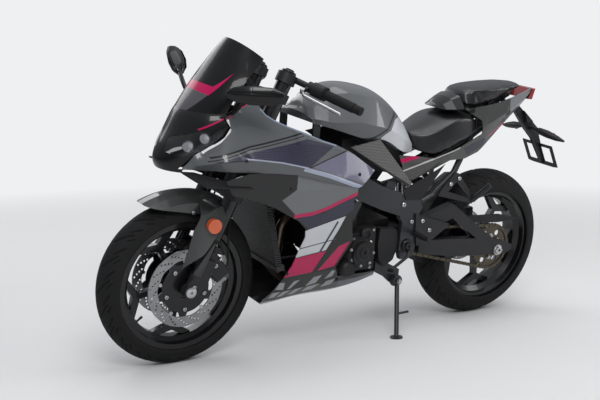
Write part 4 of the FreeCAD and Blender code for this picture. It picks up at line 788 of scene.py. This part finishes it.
TYRES = [
    # piece, body, CAD node, axle, radius, half width, half rim
    ("front_tyre_tread", "front_wheel", "front_tyre", AXLE_FRONT, FRONT_RADIUS, 56.0, 48.0),
    ("rear_tyre_tread", "rear_wheel", "rear_tyre", AXLE_REAR, REAR_RADIUS, 75.0, 64.0),
]
GROOVES = [
    # start and end as (share of a pitch, share of the half section), half width
    ((0.00, 0.07), (0.62, 0.52), 2.6),
    ((0.62, 0.36), (1.02, 0.60), 2.0),
    ((0.30, 0.50), (0.52, 0.64), 1.8),
]
GROOVE_COUNT = 20
GROOVE_DEPTH = 4.0
GROOVE_SLOPE = 1.6
HALF_SECTION = 1.7
TREAD_EDGE = 64
WALL_INSET = 0.9
TREAD_STEPS = 720
TREAD_ANGLES = [3.0 * number for number in range(-21, 22)]
WALL_ANGLES = [66, 69, 71, 72, 73, 74, 77, 80, 83, 84.5, 88, 91.5, 93, 95]
SECTION_ANGLES = [-angle for angle in WALL_ANGLES[::-1]] + TREAD_ANGLES + WALL_ANGLES
FLANGE_RADIUS = 230.0
BEAD_RADIUS = 221.0
BEAD_STEP = 7.4


def groove_depth(turn, across, radius, half):
    """How far the tread is cut at a place; the right side's grooves lie half a pitch on."""
    pitch = 2 * math.pi * radius / GROOVE_COUNT
    reach = half * HALF_SECTION
    run = (turn / (2 * math.pi) * GROOVE_COUNT + (0.5 if across < 0 else 0.0)) % 1.0
    near = []
    for (u1, v1), (u2, v2), half_width in GROOVES:
        way = Vector(((u2 - u1) * pitch, (v2 - v1) * reach))
        for lap in (-1, 0, 1):
            step = Vector(((run + lap - u1) * pitch, abs(across) - v1 * reach))
            near.append(off_line(step, way) - half_width)
    return GROOVE_DEPTH * max(0.0, min(1.0, 0.5 - min(near) / GROOVE_SLOPE))


def wall_step(angle):
    """A raised rim band and a fine line round the sidewall, by the angle round the section in degrees."""
    if 84 < angle < 92:
        return 0.9
    return -0.5 if 71.5 < angle < 73.5 else 0.0


def make_tyre(name, body, node, axle, radius, half, rim_half):
    build = bmesh.new()
    beads = [
        (rim_half + 0.8, FLANGE_RADIUS + 1), (rim_half - BEAD_STEP, FLANGE_RADIUS + 0.8),
        (rim_half - BEAD_STEP, BEAD_RADIUS),
    ]
    rings = []
    for step in range(TREAD_STEPS):
        turn = 2 * math.pi * step / TREAD_STEPS
        ring = [spoke(turn, reach) - LEFT * y for y, reach in beads[::-1]]
        for angle in SECTION_ANGLES:
            lean = math.radians(angle)
            if abs(angle) < TREAD_EDGE:
                thick = half - groove_depth(turn, lean * half, radius, half)
            else:
                thick = half + wall_step(abs(angle)) - WALL_INSET
            ring.append(spoke(turn, radius - half + thick * math.cos(lean)) + LEFT * (thick * math.sin(lean)))
        ring += [spoke(turn, reach) + LEFT * y for y, reach in beads]
        rings.append([build.verts.new(axle + point) for point in ring])
    for one, two in zip(rings, rings[1:] + rings[:1]):
        bridge(build, one, two)
    add_piece(name, build, body, "tyre", sharp=30.0, replaces=node)


for row in TYRES:
    make_tyre(*row)

# Brake discs

DISC_SIDE = 67.4
REAR_DISC_SIDE = -84.0
DISC_THICKNESS = 4.5
HOLE_RADIUS = 3.6
SCALLOPS = 10
SCALLOP_DEPTH = 1.5
INNER_STEPS = 120
OUTER_STEPS = 144
DISCS = [
    # piece, body, CAD node, axle, sides, outer and inner radius, radii of the rows of holes, holes in a row
    ("front_brake_discs", "front_wheel", "front_discs", AXLE_FRONT, (DISC_SIDE, -DISC_SIDE), 139.0, 103.0,
     (110.0, 117.0, 124.0, 131.0), 18),
    ("rear_brake_disc", "rear_wheel", "rear_disc", AXLE_REAR, (REAR_DISC_SIDE,), 110.0, 76.0,
     (84.0, 93.0, 102.0), 16),
]


def make_disc(name, body, node, axle, sides, outer, inner, rows, count):
    """Drilled rings with rounded scallops round the inner edge."""
    holes = [
        circle(u, v, HOLE_RADIUS, 12)
        for number, row in enumerate(rows) for u, v in ring_of(count, row, 360 * number / (len(rows) * count))
    ]
    inside = []
    for step in range(INNER_STEPS):
        angle = 2 * math.pi * step / INNER_STEPS
        wave = inner + SCALLOP_DEPTH * math.cos(SCALLOPS * angle)
        inside.append((wave * math.cos(angle), wave * math.sin(angle)))
    outlines = [circle(0, 0, outer, OUTER_STEPS), inside, *holes]
    build = bmesh.new()
    for side in sides:
        plate(build, facing(axle + LEFT * side, LEFT), outlines, DISC_THICKNESS)
    add_piece(name, build, body, "disc_steel", replaces=node)


for row in DISCS:
    make_disc(*row)

# Bolts, nuts and valves of the wheels

DISC_BUTTON = [(-1, 6.5), (2.4, 6.5), (3.0, 5.5), (3.0, 2.5), (1.0, 2.3), (1.0, 0)]
AXLE_CAP = [(-0.5, 19), (2, 19), (3, 18, 6), (3.8, 13.5), (3.9, 6), (-4, 5.6), (-4, 0)]
VALVE_STEM = [(0, 6), (4, 6), (6, 4), (20, 3.6), (20, 4.6), (32, 4.4), (33, 3.6), (33, 0)]
VALVES = [
    # piece, body, axle, angle
    ("front_valve", "front_wheel", AXLE_FRONT, -38.0),
    ("rear_valve", "rear_wheel", AXLE_REAR, 20.0),
]
BARREL_RADIUS = 201
VALVE_SIDE = 14
BOLT_SEAT = 2.2
SPROCKET_FACE = 90.8
FORK_FACE = 114.0

build = bmesh.new()
for x, z in ring_of(5, 75.0, 55.0):
    cap_screw(build, AXLE_FRONT + Vector((x, DISC_SIDE + BOLT_SEAT, z)), LEFT, 7.5, 6.0)
for x, z in ring_of(5, 98.0, 14.0):
    spin(build, facing(AXLE_FRONT + Vector((x, DISC_SIDE + BOLT_SEAT, z)), LEFT), DISC_BUTTON)
both_sides(build)
add_piece("front_disc_bolts", build, "front_wheel", "bright_steel")

build = bmesh.new()
for x, z in ring_of(5, 50.0, 50.0):
    cap_screw(build, AXLE_REAR + Vector((x, REAR_DISC_SIDE - BOLT_SEAT, z)), -LEFT, 6.5, 5.0)
for x, z in ring_of(6, 46.0, 30.0):
    hex_nut(build, AXLE_REAR + Vector((x, SPROCKET_FACE, z)), LEFT, 8.0, 8.0)
add_piece("sprocket_nuts", build, "rear_wheel", "bright_steel")

for name, body, axle, angle in VALVES:
    build = bmesh.new()
    outward = spoke(math.radians(angle))
    spin(build, facing(axle + outward * BARREL_RADIUS + LEFT * VALVE_SIDE, -outward), VALVE_STEM)
    add_piece(name, build, body, "satin_black")

build = bmesh.new()
spin(build, facing(AXLE_FRONT + LEFT * FORK_FACE, LEFT), AXLE_CAP)
both_sides(build)
add_piece("front_axle_nuts", build, "steering", "bright_steel")

# Chain links

CHAIN_Y = 88.0
DRIVE = Vector((-127.0, CHAIN_Y, 398.0))
WHEEL = AXLE_REAR + LEFT * CHAIN_Y
DRIVE_RADIUS = 35.67
WHEEL_RADIUS = 91.07
PITCH = 15.875
FIRST_PIN = math.radians(175.0)
LINK_END = 6.8
LINK_WAIST = 4.6
PIN_PROFILE = [
    (0, 0), (0, 2.6), (3.9, 2.6), (3.9, 5.0), (10.1, 5.0), (10.1, 2.6), (14, 2.6), (14, 0),
]


def chain_path():
    """The loop round both sprockets as a function of the run in mm, its whole length and its first pin."""
    apart = DRIVE - WHEEL
    length = math.hypot(apart.x, apart.z)
    tilt = math.atan2(apart.z, apart.x)
    opening = math.acos((WHEEL_RADIUS - DRIVE_RADIUS) / length)
    straight = math.sqrt(length ** 2 - (WHEEL_RADIUS - DRIVE_RADIUS) ** 2)
    on_wheel = WHEEL_RADIUS * (2 * math.pi - 2 * opening)
    on_drive = DRIVE_RADIUS * 2 * opening
    low, high = tilt - opening, tilt + opening
    whole = on_wheel + on_drive + 2 * straight

    def place(run):
        run %= whole
        if run < on_wheel:
            return WHEEL + spoke(high + run / WHEEL_RADIUS, WHEEL_RADIUS)
        run -= on_wheel
        if run < straight:
            return (WHEEL + spoke(low, WHEEL_RADIUS)).lerp(DRIVE + spoke(low, DRIVE_RADIUS), run / straight)
        run -= straight
        if run < on_drive:
            return DRIVE + spoke(low + run / DRIVE_RADIUS, DRIVE_RADIUS)
        run -= on_drive
        return (DRIVE + spoke(high, DRIVE_RADIUS)).lerp(WHEEL + spoke(high, WHEEL_RADIUS), run / straight)

    return place, whole, (FIRST_PIN - high) % (2 * math.pi) * WHEEL_RADIUS


def link_plate(build, start, end, y_low, y_high):
    """A waisted side plate between two pins."""
    way = (end - start).normalized()
    tall = LEFT.cross(way)
    outline = []
    for centre, first, waist in ((start, 90.0, LINK_WAIST), (end, -90.0, -LINK_WAIST)):
        for step in range(7):
            angle = math.radians(first + 30 * step)
            outline.append(centre + (way * math.cos(angle) + tall * math.sin(angle)) * LINK_END)
        outline.append((start + end) / 2 - tall * waist)
    low, high = [[build.verts.new((point.x, y, point.z)) for point in outline] for y in (y_low, y_high)]
    build.faces.new(low)
    build.faces.new(high[::-1])
    bridge(build, low, high)


place_on_chain, chain_length, chain_first = chain_path()
link_count = 2 * round(chain_length / PITCH / 2)
pins = [place_on_chain(chain_first + chain_length * number / link_count) for number in range(link_count)]
build = bmesh.new()
for number, (pin, after) in enumerate(zip(pins, pins[1:] + pins[:1])):
    inner, outer = (5.1, 6.7) if number % 2 else (3.3, 4.9)
    for side in (1, -1):
        link_plate(build, pin, after, CHAIN_Y + side * inner, CHAIN_Y + side * outer)
    spin(build, facing(pin - LEFT * 7, LEFT), PIN_PROFILE, 10)
add_piece("chain_links", build, "chassis", "chain_steel", sharp=40.0, replaces="chain")

# Side panels behind the fairing, covers under the tail and between the tank and the frame

PANEL_FACE = 150.0
PEG_ROOT = 120
PEG_PLACES = [(56, 768), (-101, 690)]
# The outline's lower strip, beyond the grey field, carries the painted shade at the panel's edge
PANEL_OUTLINE = [(103, 775), (-25, 797), (-193, 623), (-172, 611), (-152, 622)]
TAIL_OUTLINE = [(-157, 598), (-300, 658), (-352, 686), (-325, 655), (-248, 552), (-176, 558)]
INNER_OUTLINE = [(104, 690), (104, 792), (-10, 800), (-150, 740), (-206, 690), (-190, 640), (-60, 668)]
COVERS = [
    # piece, finish, outline, inner face, thickness, bevel
    ("side_panels", "side_panel", PANEL_OUTLINE, PANEL_FACE, 3.5, 1.2),
    ("tail_covers", "satin_black", TAIL_OUTLINE, 142.3, 4.0, 1.4),
    ("inner_covers", "satin_black", INNER_OUTLINE, 96.0, 3.0, 1.0),
]

for name, finish, outline, face, thickness, bevel in COVERS:
    build = bmesh.new()
    slab(build, outline, face, face + thickness, bevel)
    if name == "side_panels":
        for x, z in PEG_PLACES:
            spin(build, facing((x, PEG_ROOT, z), LEFT), [(0, 7), (PANEL_FACE - PEG_ROOT + 1, 7)], 12)
    both_sides(build)
    add_piece(name, build, "chassis", finish, "satin_black")

# Mirrors

MIRROR_RING = [(1, 0.3), (0.4, 1), (-0.7, 0.9), (-1, 0.3), (-1, -0.5), (-0.6, -0.9), (0.5, -1), (1, -0.3)]
MIRROR_SECTIONS = [
    # share of the length, half height, half depth
    (0.0, 12, 9),
    (0.16, 25, 19),
    (0.45, 31, 22),
    (0.8, 29, 15),
    (1.0, 17, 7),
]
MIRRORS = [
    # side, shell start, shell end, way the shell stands up, stalk end, whether the glass is on its deep side
    (1, (646, 222, 990), (500, 330, 992), UP, (602, 254, 984), True),
    (-1, (568, 278, 974), (562, 372, 1060), AHEAD, (566, 300, 992), False),
]
STALK = [(584, 132, 902), (585, 180, 925), (588, 215, 955)]
STALK_RADIUS = 8.0
SHELL_ROUND = 3.5
GLASS_SHARE = 0.72


def make_mirrors():
    shells, glasses = bmesh.new(), bmesh.new()
    for side, start, end, rise, stalk_end, deep_glass in MIRRORS:
        shell, glass = bmesh.new(), bmesh.new()
        start, end = Vector(start), Vector(end)
        way = (end - start).normalized()
        deep = way.cross(rise).normalized()
        tall = deep.cross(way).normalized()
        rings = []
        for share, half_height, half_depth in MIRROR_SECTIONS:
            middle, wide, high = start.lerp(end, share), deep * half_depth, tall * half_height
            rings.append([middle + wide * u + high * v for u, v in MIRROR_RING])
        loft(shell, rings)
        bmesh.ops.bevel(shell, geom=shell.edges[:], offset=SHELL_ROUND, segments=3, affect="EDGES")
        tube(shell, [*STALK, stalk_end], STALK_RADIUS)
        back, across = (deep, tall) if deep_glass else (tall, deep)
        back = back if back.x < 0 else -back
        edges = [], []
        for share, half_height, half_depth in MIRROR_SECTIONS[1:]:
            out, half = (half_depth, half_height) if deep_glass else (half_height, half_depth)
            middle = start.lerp(end, share * 0.94 + 0.02) + back * (out + 0.8)
            for edge, part in zip(edges, (-GLASS_SHARE, GLASS_SHARE)):
                edge.append(glass.verts.new(middle + across * (half * part)))
        bridge(glass, *edges, around=False)
        for part, whole in ((shell, shells), (glass, glasses)):
            bmesh.ops.scale(part, vec=(1, side, 1), verts=part.verts)
            mesh = bpy.data.meshes.new("part")
            part.to_mesh(mesh)
            part.free()
            pour(whole, mesh)
    add_piece("mirror_shells", shells, "chassis", "gloss_black", replaces="mirrors")
    add_piece("mirror_glasses", glasses, "chassis", "mirror_glass", "bright_steel")


make_mirrors()

# Rear plate holder with its bare frame, and indicators

HOLDER_ARM = [(-790, 872), (-800, 896), (-950, 776), (-1020, 625), (-1008, 618), (-935, 730), (-885, 772)]
HOLDER_ROOT = [(-850, 852), (-905, 808), (-915, 790), (-870, 800)]
PLATE_FRAME = [
    [(-85, -52), (85, -52), (85, 54), (60, 58), (-60, 58), (-85, 54)],
    [(18, -38), (68, -38), (68, 38), (18, 38)],
    [(-18, -38), (-68, -38), (-68, 38), (-18, 38)],
]
PLATE_CENTRE = (-995, 0, 663)
PLATE_WAY = Vector((-94, 0, 52))
PLATE_DOWN = Vector((-52, 0, -94))
INDICATOR_RINGS = [
    # x, y, z, radius
    (-905, 12, 776, 8), (-905, 38, 776, 9), (-910, 64, 773, 17), (-918, 100, 767, 19), (-928, 145, 758, 14),
    (-936, 178, 752, 5),
]
INDICATOR_FLATNESS = 0.8
INDICATOR_LENS = [(-8, 13), (1.5, 12), (3.5, 8), (4, 0)]

build = bmesh.new()
slab(build, HOLDER_ARM, -12, 12, 2.5)
plate(build, facing(PLATE_CENTRE, PLATE_WAY, PLATE_DOWN), PLATE_FRAME, 5.0, 0.8)
slab(build, HOLDER_ROOT, -26, 26, 3.0)
add_piece("plate_holder", build, "chassis", "satin_black", replaces="plate_bracket")

build = bmesh.new()
loft(build, [
    [(x + u, y, z + v * INDICATOR_FLATNESS) for u, v in ring_of(20, radius)]
    for x, y, z, radius in INDICATOR_RINGS
])
both_sides(build)
add_piece("indicators", build, "chassis", "satin_black", sharp=50, replaces="rear_indicators")

build = bmesh.new()
for y in (92, 118):
    spin(build, facing((-936, y, 763), -AHEAD), INDICATOR_LENS, 16)
both_sides(build)
add_piece("indicator_lenses", build, "chassis", "orange_lens")

# Headlamp bowls and beads behind the lenses

HEADLAMPS = [
    # x, z, radius of the bowl
    (716, 800, 20), (668, 828, 17),
]
LENS_GAP = 12
BOWL = [(-16, 0), (-15, 0.35), (-11, 0.65), (-4, 0.9), (3, 1)]
BEAD = [(-13, 5.5), (-9, 6), (-6, 4.5), (-4.6, 0)]

bowls, beads = bmesh.new(), bmesh.new()
for x, z, radius in HEADLAMPS:
    for place, out in met_on("headlamps", [(x, z)], (1,)):
        socket = facing(place - out * LENS_GAP, AHEAD * 0.75 + LEFT * 0.65 + out * 0.4)
        bowl = [(along, radius * share) for along, share in BOWL]
        spin(bowls, socket, bowl + [(3, radius + 1.5), (-4, radius + 1)])
        spin(beads, socket, BEAD, 16)
both_sides(bowls)
both_sides(beads)
add_piece("lamp_bowls", bowls, "chassis", "lamp_chrome", "bright_steel")
add_piece("lamp_beads", beads, "chassis", "lamp_bead", "lamp_lens")

# Instrument cluster, tilted to the rider

CLUSTER = facing((494, 0, 1009), (-0.82, 0, 0.57))
CLUSTER_THICKNESS = 26.0
CLUSTER_OUTLINE = [(-78, -34), (-66, -44), (66, -44), (78, -34), (74, 36), (62, 44), (-62, 44), (-74, 36)]
GLASS_OUTLINE = [(-66, -30), (-60, -35), (60, -35), (66, -30), (63, 31), (57, 36), (-57, 36), (-63, 31)]

build = bmesh.new()
plate(build, CLUSTER, [CLUSTER_OUTLINE], CLUSTER_THICKNESS, 4.0)
add_piece("instrument_cluster", build, "chassis", "satin_black", "display", replaces="instrument_panel")
build = bmesh.new()
plate(build, CLUSTER @ Matrix.Translation((CLUSTER_THICKNESS / 2 + 0.2, 0, 0)), [GLASS_OUTLINE], 1.4)
add_piece("cluster_glass", build, "chassis", "display")

# Fork: caps, bright sliders, seals, and brake hoses from the calipers up to the lower yoke

RAKE = math.radians(24.5)
UP_FORK = Vector((-math.sin(RAKE), 0, math.cos(RAKE)))
FORK_FORWARD = Vector((math.cos(RAKE), 0, math.sin(RAKE)))
FORK_TRACK = 97.0
FORK_CAP = [
    (-0.5, 25), (3, 25), (4.5, 23.5), (4.5, 15, 6), (10, 15, 6), (11, 12), (11, 5), (8, 5), (8, 0),
]
SLEEVE = [(0, 20.5), (0.5, 20.8), (126, 20.8), (126.5, 20.5)]
SEAL = [(0, 21), (1, 27.5), (6, 28.4), (10, 28.2), (12, 27)]
FORK_RINGS = [
    # piece, distance up the leg from the axle, profile, steps, finish, slot
    ("fork_caps", 815, FORK_CAP, 24, "black_steel", "fork_tube"),
    ("slider_sleeves", 60, SLEEVE, 32, "slider_steel", "bright_steel"),
    ("fork_seals", 186, SEAL, 32, "rubber", "rubber"),
]
HOSE_FOOT = Vector((538, 84, 352))
HOSE_NUT = [(-3, 7.5), (8, 7.5), (8, 5, 6), (11, 5, 6), (11, 0)]
HOSE_RADIUS = 3.5

leg_foot = AXLE_FRONT + LEFT * FORK_TRACK
for name, level, profile, steps, finish, slot in FORK_RINGS:
    build = bmesh.new()
    spin(build, facing(leg_foot + UP_FORK * level, UP_FORK), profile, steps)
    both_sides(build)
    add_piece(name, build, "steering", finish, slot)

build = bmesh.new()
hose_top = leg_foot + UP_FORK * 341 - FORK_FORWARD * 37 - LEFT * 17
spin(build, facing(HOSE_FOOT, (-0.62, 0, -0.79)), HOSE_NUT)
tube(build, [HOSE_FOOT, (530, 82, 370), (534, 80, 470), hose_top - UP_FORK * 60, hose_top], HOSE_RADIUS)
both_sides(build)
add_piece("brake_lines", build, "steering", "rubber")

# Screws and bolts on the sides of CAD nodes

BOTH = (1, -1)
CLUTCH_SCREWS = ring_of(7, 60.0, 20.0)[2:6]
SCREWS = [
    # piece, body, finish, slot, then rows of CAD node, sides, radius, height, (x, z) places
    ("fairing_screws", "chassis", "black_steel", "satin_black", [
        ("upper_fairings", BOTH, 6.5, 2.6, [(96, 690)]),
        ("upper_fairings", BOTH, 6.0, 2.4, [(560, 768)]),
        ("lower_fairings", BOTH, 6.5, 2.6, [(100, 590), (330, 330), (90, 268)]),
        ("lower_fairings", BOTH, 6.0, 2.4, [(380, 660)]),
        ("tail_fairing", BOTH, 6.0, 2.4, [(-690, 868)]),
    ]),
    ("frame_bolts", "chassis", "bright_steel", "bright_steel", [
        ("main_frame", BOTH, 9.0, 6.0, [(72, 520), (110, 486)]),
        ("pivot_plates", BOTH, 9.0, 6.0, [(-170, 540)]),
        ("pivot_plates", BOTH, 8.0, 6.0, [(-215, 470)]),
        ("rearsets", BOTH, 8.0, 5.0, [(-262, 470), (-300, 430)]),
        ("pillion_pegs", BOTH, 8.0, 5.0, [(-400, 600), (-440, 620)]),
    ]),
    ("case_screws", "chassis", "bright_steel", "bright_steel", [
        ("engine_covers", (1,), 5.5, 5.0, circle(21, 385, 52.0, 8, 12.0)),
        ("engine_covers", (-1,), 5.5, 5.0, [(40 + x, 385 + z) for x, z in CLUTCH_SCREWS]),
        ("engine_block", (1,), 5.5, 5.0, [(86, 424), (-44, 452), (112, 340), (70, 308), (-40, 308)]),
    ]),
    ("caliper_bolts", "steering", "bright_steel", "bright_steel", [
        ("front_calipers", BOTH, 8.0, 7.0, [(606, 352), (570, 395), (588, 374)]),
        ("front_fender", BOTH, 6.5, 3.0, [(664, 560)]),
        ("fork_lowers", BOTH, 7.0, 6.0, [(674, 312)]),
    ]),
]

for name, body, finish, slot, rows in SCREWS:
    build = bmesh.new()
    for node, sides, radius, height, places in rows:
        for place, way in met_on(node, places, sides):
            cap_screw(build, place, way, radius, height)
    add_piece(name, build, body, finish, slot)

# Caps of the swingarm's pivot and of the engine

PIVOT_CAP = [(-1, 24), (4, 24), (6, 22), (6, 15, 6), (12, 15, 6), (13, 12), (13, 6), (9, 6), (9, 0)]
CRANK_CENTRE = (21, 385)
CRANK_CAP = [
    (0, 37), (4, 36), (5, 33), (3, 31), (3, 19), (6, 18), (7, 16), (7, 9, 6), (3, 9, 6), (3, 0),
]
TIMING_PLACE = (-8, 136, 440)
TIMING_PLUG = [(-8, 24), (11, 24), (14, 21), (14, 15, 6), (10, 15, 6), (10, 0)]
OIL_FILTER = [(-14, 31), (22, 32), (26, 30), (32, 24), (32, 0)]
FILTER_RIB = [(-4, 3), (18, 3), (20, 0)]
FILTER_PLACE = Vector((70, 136, 318))

build = bmesh.new()
for place, _ in met_on("pivot_plates", [(-203, 377)]):
    spin(build, facing(place, LEFT * place.y), PIVOT_CAP)
add_piece("pivot_caps", build, "chassis", "black_steel", "satin_black")

build = bmesh.new()
for place, _ in met_on("engine_covers", [CRANK_CENTRE], (1,)):
    spin(build, facing(place - LEFT * 1.5, LEFT), CRANK_CAP, 48)
spin(build, facing(TIMING_PLACE, LEFT), TIMING_PLUG, 36)
spin(build, facing(FILTER_PLACE, LEFT), OIL_FILTER, 36)
for x, z in ring_of(14, 31.0):
    spin(build, facing(FILTER_PLACE + Vector((x, 0, z)), LEFT), FILTER_RIB, 6)
add_piece("engine_caps", build, "chassis", "engine_alloy")

# Rear axle nuts with the chain adjusters behind them, and the side stand's bolt

STAND_BOLT = (-201, 124, 226)
REAR_AXLE_NUT = [(-1, 22), (3, 22), (3, 18, 6), (11, 18, 6), (12.5, 14), (12.5, 10)]
ADJUSTER = [(-2, 7, 6), (5, 7, 6), (6, 4), (16, 4), (17, 0)]

build = bmesh.new()
for place, _ in met_on("swingarm", [(AXLE_REAR.x + 19, AXLE_REAR.z)]):
    side = math.copysign(1, place.y)
    spin(build, facing(AXLE_REAR + LEFT * place.y, LEFT * side), REAR_AXLE_NUT)
    for z in (-9, 9):
        spin(build, facing(AXLE_REAR + Vector((-52, place.y - 9 * side, z)), -AHEAD), ADJUSTER, 12)
add_piece("rear_axle_nuts", build, "chassis", "bright_steel")

build = bmesh.new()
hex_nut(build, STAND_BOLT, LEFT, 9.0, 8.0)
add_piece("stand_bolt", build, "chassis", "bright_steel")

# Seats: padded covers blown up on a slightly smaller core, then stitched

SEAT_VOXEL = 0.005
SHRINK = 0.005
SWELL_FRAMES = 20
COVER_CLOTH = dict(
    quality=5, mass=0.3, tension_stiffness=40, compression_stiffness=40, shear_stiffness=25,
    bending_stiffness=20, use_pressure=True, uniform_pressure_force=4.0,
)
SEAM_REACH = 4.5
SEAM_DEPTH = 1.8

CROWN = (-1, -0.75, -0.5, -0.25, 0, 0.25, 0.5, 0.75, 1)
PILLION_RINGS = [
    # x, top, edge (y, z), lower edge (y, z)
    (-464, 938, (34, 934), (56, 902)),
    (-482, 952, (58, 944), (84, 893)),
    (-512, 964, (78, 950), (93, 893)),
    (-560, 971, (92, 954), (97, 899)),
    (-628, 977, (95, 956), (95, 911)),
    (-700, 980, (82, 958), (80, 930)),
    (-770, 976, (60, 962), (56, 948)),
    (-806, 966, (34, 958), (30, 953)),
]
HUMP_RINGS = [
    (-384, 884, (30, 882), (52, 878)),
    (-398, 902, (42, 897), (72, 880)),
    (-426, 922, (52, 913), (88, 882)),
    (-461, 936, (60, 926), (96, 884)),
]
RIDER_SEAM = [
    (-246, 44, 792), (-300, 97, 797), (-360, 115, 823), (-420, 117, 847), (-480, 111, 851), (-526, 97, 843),
]
SEATS = [
    # piece, CAD node, rings where the pad is fuller than the solid, seams of (x, y, z) with y on the left
    ("rider_seat_pad", "rider_seat", None, [RIDER_SEAM]),
    ("pillion_seat_pad", "pillion_seat", PILLION_RINGS, [
        [(x, *edge) for x, _, edge, _ in PILLION_RINGS],
        [(-500, 0, 961), (-502, 50, 957), (-506, 84, 938)],
    ]),
]


def crowned(x, top, edge, low):
    """A cross-section: flat sole, sloping sides and a crowned top."""
    ring = [(edge[0] * share, edge[1] + (top - edge[1]) * (1 - share ** 2)) for share in CROWN]
    return [Vector((x, y, z)) for y, z in [(-low[0], low[1]), *ring, low]]


def core_of(node, rings):
    """The solid to pad: the given rings, or else a copy of the CAD node's mesh."""
    build = bmesh.new()
    if rings:
        loft(build, [crowned(*row) for row in rings])
        bmesh.ops.recalc_face_normals(build, faces=build.faces)
        bmesh.ops.transform(build, matrix=TO_FRAME, verts=build.verts)
    else:
        build.from_mesh(frame["nodes"][node].data)
    return as_object(node + "_core", build)


def settled(piece):
    """Applies the piece's modifiers."""
    graph = bpy.context.evaluated_depsgraph_get()
    mesh = bpy.data.meshes.new_from_object(piece.evaluated_get(graph))
    piece.modifiers.clear()
    old = piece.data
    piece.data = mesh
    bpy.data.meshes.remove(old)


def draw_in(mesh, distance):
    """Moves each point inwards by what distance gives for its place."""
    places = [vertex.co.copy() for vertex in mesh.vertices]
    normals = [vertex.normal.copy() for vertex in mesh.vertices]
    for vertex, place, normal in zip(mesh.vertices, places, normals):
        vertex.co = place - normal * distance(place)


def swell(piece):
    """Blows the cover up with the cloth solver, no further than the core was shrunk."""
    start = [vertex.co.copy() for vertex in piece.data.vertices]
    cloth = piece.modifiers.new("cover", "CLOTH")
    for key, value in COVER_CLOTH.items():
        setattr(cloth.settings, key, value)
    cloth.settings.effector_weights.gravity = 0
    cloth.point_cache.frame_start = 1
    cloth.point_cache.frame_end = SWELL_FRAMES
    for number in range(1, SWELL_FRAMES + 1):
        bpy.context.scene.frame_set(number)
    settled(piece)
    for vertex, from_place in zip(piece.data.vertices, start):
        moved = vertex.co - from_place
        if moved.length > SHRINK:
            vertex.co = from_place + moved * (SHRINK / moved.length)
    ease = piece.modifiers.new("ease", "SMOOTH")
    ease.iterations = 10
    settled(piece)


def stitch(piece, seams):
    """Draws the cover in along each seam, on both sides."""
    stretches = [(Vector(one), Vector(two)) for seam in seams for one, two in zip(seam, seam[1:])]

    def pull(point):
        place = UPRIGHT @ point / MM
        place.y = abs(place.y)
        near = min(off_line(place - one, two - one) for one, two in stretches)
        return SEAM_DEPTH * MM * max(0.0, 1 - near / SEAM_REACH)

    draw_in(piece.data, pull)


def make_seat(name, node, rings, seams):
    piece = core_of(node, rings)
    remesh = piece.modifiers.new("voxels", "REMESH")
    remesh.mode = "VOXEL"
    remesh.voxel_size = SEAT_VOXEL
    remesh.use_smooth_shade = True
    smooth = piece.modifiers.new("ease", "SMOOTH")
    smooth.iterations = 6
    settled(piece)
    draw_in(piece.data, lambda place: SHRINK)
    swell(piece)
    finer = piece.modifiers.new("finer", "SUBSURF")
    finer.levels = 1
    settled(piece)
    stitch(piece, seams)
    piece.name = name
    piece.data.name = name
    piece.data.shade_smooth()
    paint(piece, finishes["seat_cover"])
    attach(piece, "chassis")
    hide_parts(node)


for row in SEATS:
    make_seat(*row)

# Tail panels, with a rounded cowl in place of the solid's square step before the pillion pad

STEP_BOX = ((-474, -384), (-89.5, 89.5), (875.5, 930))


def in_step(face):
    return all(
        low <= corner.co[axis] <= high for corner in face.verts for axis, (low, high) in enumerate(STEP_BOX))


build = bmesh.new()
build.from_mesh(frame["nodes"]["tail_fairing"].data)
bmesh.ops.transform(build, matrix=TO_FRAME.inverted(), verts=build.verts)
bmesh.ops.delete(build, geom=[face for face in build.faces if in_step(face)], context="FACES")
loft(build, [crowned(*row) for row in HUMP_RINGS])
add_piece("tail_panels", build, "chassis", "tail_paint", "panel_paint", sharp=30, replaces="tail_fairing")

# Floor, which fades into the backdrop

FLOOR_SIZE = 30
FLOOR_COLOUR = (0.66, 0.66, 0.655)
FADE_START = 1700.0
FADE_RUN = 3600.0


def make_floor():
    build = bmesh.new()
    bmesh.ops.create_grid(build, x_segments=1, y_segments=1, size=FLOOR_SIZE)
    floor = as_object("floor", build)
    made = Finish("floor")
    darker = tuple(part * 0.97 for part in FLOOR_COLOUR)
    made.set(colour=made.mix(made.noise(400), darker, FLOOR_COLOUR), rough=0.8, specular=0.2)
    away = made.vector("LENGTH", made.place)
    far = made.math("MULTIPLY_ADD", away, 1 / FADE_RUN, -FADE_START / FADE_RUN, clamp=True)
    seen = made.math("MULTIPLY", far, made.wire("LightPath", output="Is Camera Ray"))
    wall = made.wire("Emission", BACKDROP_COLOUR)
    surface = made.wire("MixShader", seen, made.shader.outputs[0], wall)
    made.feed(made.out.inputs["Surface"], surface)
    paint(floor, made)


make_floor()
